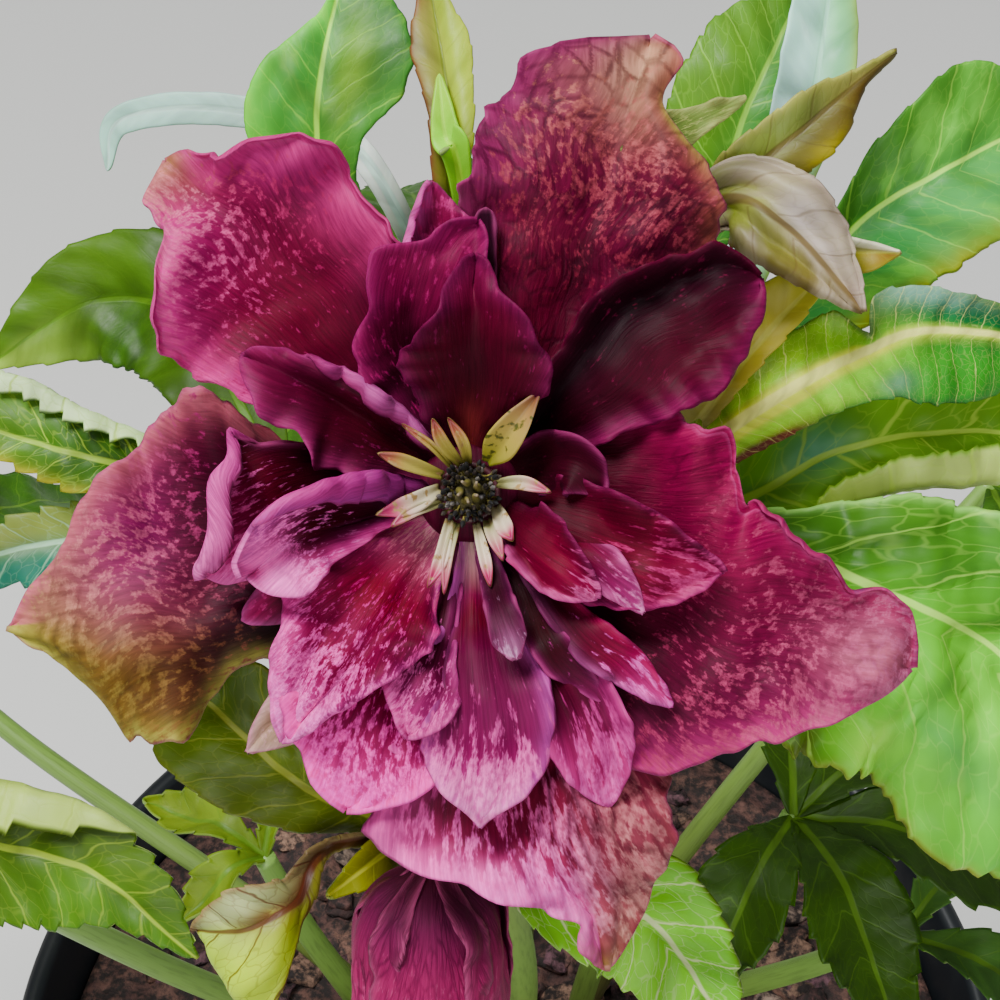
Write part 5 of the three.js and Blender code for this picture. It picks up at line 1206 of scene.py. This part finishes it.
leafTop = {
    "left": {
        "rib": [hubs["top"], [-13, 24, -32], [-16.2, 38, -25], [-13.2, 57, -27]],
        "left": [1, 3, 5, 6.5, 7, 7.2, 6.8, 1.5, 0.5], "right": [1, 3, 4, 4, 4, 4.6, 8.8, 8.2, 0.5],
        "ground": ("50901c 6cb828 54a83c 4c9844", "3c7820 548c20 4c8438 48803c"), "marks": "84b840",
        "veins": "b0f048", "rim": ("70d840", "48883c"), "rimWidth": (1.2, 0.6), "teeth": (3.4, 0.15),
        "net": 0.12, "quilt": 0.2, "crumple": 0.9, "cover": 0.25,
        "patches": [(0.78, 0.35, 0.1, 0.2, "7cac20", 0.8), (0.7, -0.35, 0.12, 0.25, "3c8038", 0.7)],
    },
    "middle": {
        "rib": [hubs["top"], [-2, 29, -16], [-2.3, 38.5, -14], [-4.5, 52, -18]],
        "left": [1, 1.5, 1.8, 2, 2.4, 3, 0.5], "right": [1, 1.8, 2.2, 2.4, 2.6, 3, 0.5],
        "ground": ("7c8c34 8c9440 8c9048 948c50", "8ca020 94ac24 98b024 98b028"), "marks": "a0a840",
        "veins": "6c7c24", "rim": ("70402c", "a8b840"), "rimWidth": 0.6, "teeth": (3, 0.2),
        "groove": (0.9, 0.9), "net": 0.1, "quilt": 0.12, "crumple": 0.5,
    },
    "lime": {
        "rib": [hubs["top"], [-1.2, 31, -14], [-2.6, 35, -12.5], [-3.2, 41, -13]],
        "left": [0.5, 0.9, 1.6, 1.2, 0.3], "right": [0.5, 0.9, 1.6, 1.3, 0.3], "rightLift": [0, 1, 0],
        "ground": "7ca818 84d408 90e010 9cd020", "marks": "b0f040", "veins": "a8e830", "teeth": None,
        "net": 0.0, "quilt": 0.05, "crumple": 0.2,
    },
    "right": {
        "rib": [hubs["top"], [22, 26, -27], [28.5, 40.5, -23], [35, 54, -27]], "left": [1, 5, 7, 8, 7, 0.5],
        "right": [1, 3, 3.6, 4, 4, 0.5],
        "ground": ("3c6c14 44780c 54841c 588c28", "3c7028 4c8840 509048 4c8844"), "marks": "74a838",
        "veins": "94c850", "teeth": (3.2, 0.4), "net": 0.35, "quilt": 0.25,
    },
    "pale": {
        "rib": [hubs["top"], [-13, 38.5, -46], [-28, 44, -50], [-40.5, 43, -50], [-42.3, 37, -50]],
        "left": [0.8, 1.6, 1.9, 1.8, 0.3], "right": [0.8, 1.6, 1.8, 1.7, 0.3],
        "ground": "84a080 d4dcd4 c0e0d4 b0d8c8 a8d0bc", "marks": "c8e4d8", "veins": "bcd8cc", "teeth": None,
        "net": 0.0, "quilt": 0.0, "crumple": 0.4, "groove": (0.1, 0.5),
    },
}
leafLeft = {
    "edge": {
        "rib": [hubs["left"], [-34, 2.4, -38], [-46, 5, -36], [-64, 11, -40]],
        "left": [1, 4, 4.8, 4.4, 3, 0.5], "right": [1, 2, 3, 4.5, 5.8, 0.5],
        "ground": "28480a 30540c 3c6810 70a01c", "marks": "6c9c28", "veins": "a0c048",
        "rim": ("a8a028", None), "under": "b0cc90 d4f0b0 e0f8c0", "cover": 0.1,
        "rolls": [{"side": "right", "span": (0.1, 1.3), "width": 3.6, "angle": 165, "radius": 0.4,
                   "teeth": (2.7, 0.32, 1.5)}],
    },
    "lower": {
        "rib": [hubs["left"], [-36, -4, -42], [-50, -6, -41], [-64, -10, -45]], "left": [1, 4, 5, 4, 0.5],
        "right": [1, 4, 4.5, 3.6, 0.5], "ground": ("1c503c 246450 2c705c", "5c6828 788840 949c60"),
        "marks": "548c70", "veins": "a8ccac", "net": 0.3,
    },
    "dark": {
        "rib": [hubs["left"], [-34, 20, -64], [-47, 24, -70], [-62, 16, -74]], "left": [1.5, 8, 9, 7, 0.6],
        "right": [1.5, 7, 9, 7, 0.6],
        "ground": ("304808 38580c 3c6010 90b048", "304808 3c600c 44680c 44680c"), "marks": "4c7410",
        "veins": "507814", "net": 0.0, "teeth": (3.6, 0.3), "quilt": 0.12, "crumple": 1.0,
    },
}
leafLowerLeft = {
    "tip": {
        "rib": [hubs["lowerLeft"], [-52, -36, -27], [-39.4, -38.9, -24], [-28.4, -47.8, -24]],
        "left": [1, 4, 6, 6, 5.4, 4.6, 0.5], "right": [1, 5, 8, 8, 7, 3, 0.5],
        "ground": ("2c4008 385008 405c0c 406410", "2c4008 385408 447008 3c6408"), "marks": "587c14",
        "veins": "98b03c", "under": "90a448 b8d070 c8e088", "teeth": (2.6, 0.8), "cover": 0.05, "net": 0.25,
        "spacing": 6.4,
        "rolls": [{"side": "left", "span": (-0.1, 0.72), "width": 7.6, "angle": 162, "radius": 0.6,
                   "teeth": (5.2, 0.22, 1.5)}],
    },
}
# Leaves spread by rule: stalk and heading in the plant's frame, leaflets fanned round the heading
# their grounds are the leaves' own green darkened as painted shade, for they lie behind and under the others
ruleLeaves = {
    "leaf_deep_right": {
        "path": [[10, -13, 148], [16, -24, 210], [28, -40, 280], [36, -43, 326]], "heading": -15,
        "reach": 36, "width": 8, "count": 5, "fan": 105, "droop": 8, "ground": "304c10 34540c 304c10",
    },
    "leaf_low_right": {
        "path": [[16, -1, 148], [26, -8, 200], [48, -26, 255], [58, -33, 277]], "heading": -30, "reach": 30,
        "width": 6, "count": 3, "fan": 80, "droop": 6, "ground": "3c5c20 4c7434 4c7c3c",
    },
    "leaf_young": {
        "path": [[-16, -6, 148], [-22, -12, 200], [-32, -20, 255], [-36, -24, 284]], "heading": 150,
        "reach": 22, "width": 4.5, "count": 3, "fan": 70, "droop": 2, "ground": "5c7418 6c8420 708420",
    },
    "leaf_back_left": {
        "path": [[-14, 8, 148], [-40, 12, 196], [-86, 26, 240], [-108, 38, 262]], "heading": 165,
        "reach": 76, "width": 13, "count": 5, "fan": 110, "droop": 26, "ground": "2c5010 345c14 346018",
    },
    "leaf_back": {
        "path": [[-3, 18, 148], [-4, 34, 200], [-8, 62, 265], [-10, 76, 290]], "heading": 100, "reach": 68,
        "width": 12, "count": 5, "fan": 110, "droop": 26, "ground": "305414 386018 3c681c",
    },
    "leaf_back_right": {
        "path": [[11, 12, 148], [30, 22, 200], [66, 40, 262], [82, 50, 282]], "heading": 25, "reach": 78,
        "width": 13, "count": 5, "fan": 110, "droop": 28, "ground": "305414 3c6418 40701c",
    },
    "leaf_front": {
        "path": [[2, -16, 148], [6, -34, 190], [18, -78, 236], [22, -96, 246]], "heading": -80, "reach": 70,
        "width": 12, "count": 5, "fan": 105, "droop": 24, "ground": "305414 386418 3c681c",
    },
}
outerLeaflet = {"shorter": 0.28, "narrower": 0.2}
# darker marks and veins: painted shade for the leaflets spread by rule
shadeLook = {**leafLook, "marks": "4c7824", "veins": "5c8028", "net": 0.3, "teeth": (3.6, 0.9),
             "spacing": 6.0}


def spreadLeaflets(hub, leaf, seed):
    # leaflet k points heading + fan * offset, offset from -1 to 1, the middle one longest and widest; each
    # rises a little from the hub and then droops
    made = []
    for k in range(leaf["count"]):
        offset = 2 * k / (leaf["count"] - 1) - 1
        turn = np.radians(leaf["heading"] + leaf["fan"] * offset)
        length = leaf["reach"] * (1 - outerLeaflet["shorter"] * abs(offset))
        half = leaf["width"] * (1 - outerLeaflet["narrower"] * abs(offset))
        steps = [(0, 0), (0.35, 3), (0.7, -0.3 * leaf["droop"]), (1, -leaf["droop"])]
        direction = np.array([np.cos(turn), np.sin(turn), 0])
        rib = [hub + direction * length * part + [0, 0, rise] for part, rise in steps]
        widths = [0.6, 0.6 * half, half, 0.7 * half, 0.5]
        shape = {"rib": rib, "left": widths, "leftLift": [0, 2, 1], "rightLift": [0, 2, 1],
                 "ground": leaf["ground"]}
        made.append(blade(shape, upright, seed + k, "small", **shadeLook))
    return made


def leafStalk(path, seed):
    # a tube with the radii and colours that all leaf stalks share
    return tube(path, seed=seed, **stalkLook)


lowerLeftFan = {"heading": 215, "reach": 60, "width": 12, "count": 3, "fan": 75, "droop": 18,
                "ground": "345c14 44701c 487820"}
for name, shapes, side in (("leaf_right", leafRight, "right"), ("leaf_top", leafTop, "top"),
                           ("leaf_left", leafLeft, "left"), ("leaf_lower_left", leafLowerLeft, "lowerLeft")):
    hub = fromBloom(hubs[side])
    parts = blades(shapes, "leaf", len(name) * 7, leafLook) + [leafStalk(leafStalks[side] + [hub], len(name))]
    if side == "lowerLeft":
        parts += spreadLeaflets(hub, lowerLeftFan, 210)
    makePiece(name + "_leaflets", parts, [leafBlade, stalkSkin], [name])
for k, (name, leaf) in enumerate(ruleLeaves.items()):
    hub = np.array(leaf["path"][-1], float)
    parts = spreadLeaflets(hub, leaf, 230 + 10 * k) + [leafStalk(leaf["path"], k)]
    makePiece(name + "_leaflets", parts, [leafBlade, stalkSkin], [name])

# Pot and compost, in mm
pot = {
    "height": 175, "topRadius": 93, "baseRadius": 70, "wall": 1.8, "floor": 2.5, "sides": 160,
    "rimDepth": 16, "rimProud": 2.5, "rimRoll": 3.5, "drainRadius": 5, "drainRing": 48, "drainCount": 6,
    "drainSpan": (-4, 8), "drainSides": 40,
}
compost = {
    "level": 160, "bottom": 2.8, "inset": 2.7, "rings": 70, "wallRings": 20, "spokes": 160, "sunkenEdge": 1.6,
    "relief": ((26, 3, 1.0), (8, 4, 0.9), (3.2, 5, 0.7)),  # wave length, seed, height
    "toneWave": 6, "dark": "4a302c", "light": "6a4a40",
}
barkChips = {
    "count": 330, "length": 13.0, "width": 6.0, "thickness": 3.0, "seed": 11, "spread": 80.0,
    "sizes": (0.45, 1.2), "large": 1.35, "roundness": 0.45, "taper": 0.35, "skew": 0.5, "roughness": 0.35,
    "tilt": 0.3, "heights": (-0.6, 1.3), "shades": (0.75, 1.25),
    "tones": ["5a3c38", "6e4a40", "4a2e2c", "7c584a", "8a6a58", "3c2624", "604048", "8c7668"],
}


def potRadius(z):
    # the outside of the wall widens evenly from the base to the top
    return pot["baseRadius"] + (pot["topRadius"] - pot["baseRadius"]) * z / pot["height"]


def makeMouldedPlastic():
    # polypropylene, injection moulded: even blue-black, satin, with a faint orange-peel skin and dust that
    # dulls and lightens it in patches
    material = newMaterial("mouldedPolypropylene")
    tree = material.node_tree
    where = add(tree, "TexCoord", output="Object")
    skin = add(tree, "TexNoise", {"Vector": where, "Scale": 1 / (1.2 * mm), "Detail": 2.0})
    dust = add(tree, "TexNoise", {"Vector": where, "Scale": 1 / (22 * mm), "Detail": 5.0})
    share = add(tree, "MapRange", {"Value": dust, 1: 0.45, 2: 0.8, 4: 0.45}, interpolation_type="SMOOTHSTEP")
    coloured = add(tree, "Mix", {0: share, 6: colourOf("12171c"), 7: colourOf("4a4a48")}, output=2,
                   data_type="RGBA")
    gloss = add(tree, "MapRange", {"Value": dust, 3: 0.36, 4: 0.62})
    return finishSurface(material, {"Base Color": coloured, "Roughness": gloss, "IOR": 1.49}, skin, 0.04, 0.4)


def makeBark():
    # composted pine bark: rough fibrous crumbs, purple-brown and damp, a few of them bleached or mossy
    material = newMaterial("compostedBark")
    tree = material.node_tree
    paint = add(tree, "Attribute", attribute_name="paint", output="Color")
    where = add(tree, "TexCoord", output="Object")
    crumb = add(tree, "TexNoise", {"Vector": where, "Scale": 1 / (2.4 * mm), "Detail": 6.0,
                                   "Roughness": 0.65})
    fibre = add(tree, "VectorMath", {0: where, 1: (1, 1, 0.2)}, operation="MULTIPLY")
    grainLines = add(tree, "TexNoise", {"Vector": fibre, "Scale": 1 / (0.9 * mm), "Detail": 3.0})
    share = add(tree, "MapRange", {"Value": crumb, 1: 0.4, 2: 0.65}, interpolation_type="SMOOTHSTEP")
    coloured = add(tree, "Mix", {0: share, 6: colourOf("1c1210"), 7: paint}, output=2, data_type="RGBA")
    relief = add(tree, "Math", {0: crumb, 1: grainLines}, operation="ADD")
    gloss = add(tree, "MapRange", {"Value": crumb, 3: 0.7, 4: 0.98})
    return finishSurface(material, {"Base Color": coloured, "Roughness": gloss}, relief, 0.6, 0.7)


def drilled(shape, cutters):
    # takes the cutters out of the shape with an exact Boolean and keeps the result as its mesh
    bpy.context.scene.collection.objects.link(shape)
    for cutter in cutters:
        bpy.context.scene.collection.objects.link(cutter)
        cut = shape.modifiers.new("hole", "BOOLEAN")
        cut.object, cut.operation, cut.solver = cutter, "DIFFERENCE", "EXACT"
    result = bpy.data.meshes.new_from_object(shape.evaluated_get(bpy.context.evaluated_depsgraph_get()))
    for spare in [shape, *cutters]:
        bpy.data.objects.remove(spare)
    return result


def plainObject(name, part):
    # an object of the part's points and faces, for the Boolean
    made = bpy.data.meshes.new(name)
    made.from_pydata((part["points"] * mm).tolist(), [], part["quads"].tolist() + part["triangles"].tolist())
    return bpy.data.objects.new(name, made)


def makePot():
    # one profile, from the middle of the underside over the foot, the wall, the step and roll of the rim, the
    # inner wall and the floor; the small numbers round its corners
    height, wall, floor, base, top = (
        pot[key] for key in ("height", "wall", "floor", "baseRadius", "topRadius"))
    rimFoot, rollFoot = height - pot["rimDepth"], height - pot["rimRoll"]
    neck, outer, inner = potRadius(rimFoot), top + pot["rimProud"], potRadius(floor) - wall
    step = neck + pot["rimProud"]
    outline = [
        [0, 1.2], [base - 7, 1.2], [base - 6, 0], [base - 1.2, 0], [base + 0.1, 0.9], [base + 0.4, 2.6],
        [neck - 0.4, rimFoot - 1.2], [neck, rimFoot], [step - 0.5, rimFoot + 0.2], [step, rimFoot + 1],
        [outer - 0.9, rollFoot - 2.4], [outer - 0.1, rollFoot], [outer, height - 2.2],
        [outer - 0.5, height - 1.0], [outer - 1.4, height - 0.3], [top, height], [top - 1, height - 0.3],
        [top - wall, height - 1.6], [neck - wall, rimFoot - 2], [inner, floor + 1], [inner - 1, floor],
        [0, floor],
    ]
    body = plainObject("potBody", lathe(outline, pot["sides"]))
    (low, high), radius = pot["drainSpan"], pot["drainRadius"]
    holes = []
    for k in range(pot["drainCount"]):
        turn = 2 * np.pi * k / pot["drainCount"]
        bore = lathe([[0, low], [radius, low], [radius, high], [0, high]], pot["drainSides"])
        bore["points"] = bore["points"] + pot["drainRing"] * np.array([np.cos(turn), np.sin(turn), 0])
        holes.append(plainObject("bore", bore))
    moulded = drilled(body, holes)
    moulded.name = "pot_shell"
    moulded.materials.append(makeMouldedPlastic())
    moulded.shade_smooth()
    piece = bpy.data.objects.new("pot_shell", moulded)
    bpy.context.scene.collection.objects.link(piece)
    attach(piece, "root")
    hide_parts("pot")
    print("made pot_shell", len(moulded.polygons), "faces")


def makeCompostBed():
    # a disc whose height is waves of three sizes that fade out at its sunken edge, closed down the pot's
    # wall and under it
    rings, spokes, level, bottom = (compost[key] for key in ("rings", "spokes", "level", "bottom"))
    edge, low = potRadius(level) - compost["inset"], potRadius(bottom) - compost["inset"]
    wallRings = compost["wallRings"]
    radius = np.concatenate([edge * np.linspace(0.01, 1, rings), np.linspace(edge, low, wallRings)[1:]])
    z = np.concatenate([np.full(rings, level * 1.0), np.linspace(level, bottom, wallRings)[1:]])
    turn = 2 * np.pi * np.arange(spokes) / spokes
    points = np.stack(aroundAxis(radius[:, None], turn, z[:, None] + 0 * turn), -1)
    top = points[:rings]
    within = smoothstep(1.0, 0.9, radius[:rings] / edge)[:, None]
    relief = sum(height * waves(top[..., :2], length, seed) for length, seed, height in compost["relief"])
    top[..., 2] += within * relief - compost["sunkenEdge"] * (1 - within)
    flipped = points[::-1].reshape(-1, 3)
    quads, triangles = ringFaces(len(radius) - 1, spokes)
    tone = waves(flipped, compost["toneWave"], 8)[:, None]
    dark, light = linear(compost["dark"]), linear(compost["light"])
    paint = dark + (light - dark) * np.clip(0.5 + tone, 0, 1)
    return plainPart(flipped, quads, triangles, paint, paint)


def makeBarkChips():
    # each chip is a rounded wedge: a 5 by 4 by 3 grid pressed towards an ellipsoid, skewed, roughened and
    # laid flat with a slight tilt
    draw = np.random.default_rng(barkChips["seed"])
    cells = [np.linspace(-1, 1, n) for n in (5, 4, 3)]
    grid = np.stack(np.meshgrid(*cells, indexing="ij"), -1)
    number = -np.ones(grid.shape[:3], int)
    onSkin = np.abs(grid).max(-1) > 0.999
    number[onSkin] = np.arange(onSkin.sum())
    skin = grid[onSkin]
    faces = []
    for axis in range(3):
        for end, flip in ((0, False), (-1, True)):
            sheet = np.take(number, end, axis)
            quad = np.stack([sheet[:-1, :-1], sheet[1:, :-1], sheet[1:, 1:], sheet[:-1, 1:]], -1)
            quad = quad.reshape(-1, 4)
            faces.append(quad[:, ::-1] if (axis == 1) == flip else quad)
    quads = np.vstack(faces)
    ball = skin / np.linalg.norm(skin, axis=1, keepdims=True)
    rounded = skin * (1 - barkChips["roundness"]) + ball * barkChips["roundness"]
    fullTurn = 6.283
    parts = []
    for k in range(barkChips["count"]):
        size = np.array([barkChips["length"], barkChips["width"], barkChips["thickness"]]) / 2
        size = size * draw.uniform(*barkChips["sizes"], 3) * (1.0 if k % 4 else barkChips["large"])
        body = rounded * size
        body[:, 1] *= 1 - barkChips["taper"] * skin[:, 0] * draw.uniform(0, 1)
        body[:, 0] += body[:, 1] * draw.uniform(-barkChips["skew"], barkChips["skew"])
        body += barkChips["roughness"] * draw.normal(size=body.shape)
        turn = draw.uniform(0, fullTurn)
        lean, roll = draw.normal() * barkChips["tilt"], draw.normal() * barkChips["tilt"]
        rotation = (Matrix.Rotation(turn, 3, "Z") @ Matrix.Rotation(lean, 3, "Y")
                    @ Matrix.Rotation(roll, 3, "X"))
        radius = barkChips["spread"] * np.sqrt(draw.uniform(0.002, 1))
        place = draw.uniform(0, fullTurn)
        height = compost["level"] + draw.uniform(*barkChips["heights"])
        points = body @ np.array(rotation).T + aroundAxis(radius, place, height)
        tone = linear(barkChips["tones"][int(draw.integers(0, len(barkChips["tones"])))])
        shade = tone * draw.uniform(*barkChips["shades"])
        parts.append(plainPart(points, quads, np.zeros((0, 3), int), shade, shade))
    return parts


makePot()
bark = makeBark()
makePiece("compost_bed", [makeCompostBed()], [bark], ["soil"])
makePiece("bark_chips", makeBarkChips(), [bark])

# Camera on the bloom's axis, 200 mm out and a little to its right and below
view = {"right": 2.75, "up": -0.7, "out": 200.0, "lens": 78.5, "sensor": 36, "nearest": 0.01}
camera = bpy.data.objects.new("camera", bpy.data.cameras.new("camera"))
camera.data.lens = view["lens"]
camera.data.sensor_width = view["sensor"]
camera.data.clip_start = view["nearest"]
place = Matrix(bloomAxes.T.tolist()).to_4x4()
place.translation = fromBloom([view["right"], view["up"], view["out"]]) * mm
camera.matrix_world = place
bpy.context.scene.collection.objects.link(camera)
bpy.context.scene.camera = camera

# Studio, in metres: pale floor, one large soft light above and to the left, a weaker one in front, pale
# surroundings
studio = {
    "floorHalf": 3, "floorColour": "f0f0ec", "floorRoughness": 0.8,
    "around": "e6e8ea", "aroundStrength": 0.36,
    "lamps": {
        "key": {"place": (-0.3, -0.05, 1.25), "size": 0.35, "power": 15.5},
        "fill": {"place": (0.05, -1.0, 0.75), "size": 0.6, "power": 6.0},
    },
}
far = studio["floorHalf"]
floorMesh = bpy.data.meshes.new("floor")
floorMesh.from_pydata([(-far, -far, 0), (far, -far, 0), (far, far, 0), (-far, far, 0)], [], [(0, 1, 2, 3)])
floor = bpy.data.objects.new("floor", floorMesh)
floorPaper = newMaterial("paleFloor")
paper = add(floorPaper.node_tree, "BsdfPrincipled",
            {"Base Color": colourOf(studio["floorColour"]), "Roughness": studio["floorRoughness"]})
add(floorPaper.node_tree, "OutputMaterial", {"Surface": paper})
floorMesh.materials.append(floorPaper)
bpy.context.scene.collection.objects.link(floor)

for name, lamp in studio["lamps"].items():
    light = bpy.data.lights.new(name, "AREA")
    light.size, light.energy = lamp["size"], lamp["power"]
    lampObject = bpy.data.objects.new(name, light)
    lampObject.location = lamp["place"]
    towards = Vector(fromBloom([0, 0, 0]) * mm) - lampObject.location
    lampObject.rotation_euler = towards.to_track_quat("-Z", "Y").to_euler()
    bpy.context.scene.collection.objects.link(lampObject)

world = bpy.data.worlds.new("studio")
world.use_nodes = True
surroundings = world.node_tree.nodes["Background"].inputs
surroundings["Color"].default_value = colourOf(studio["around"])
surroundings["Strength"].default_value = studio["aroundStrength"]
bpy.context.scene.world = world
print("camera and studio set")
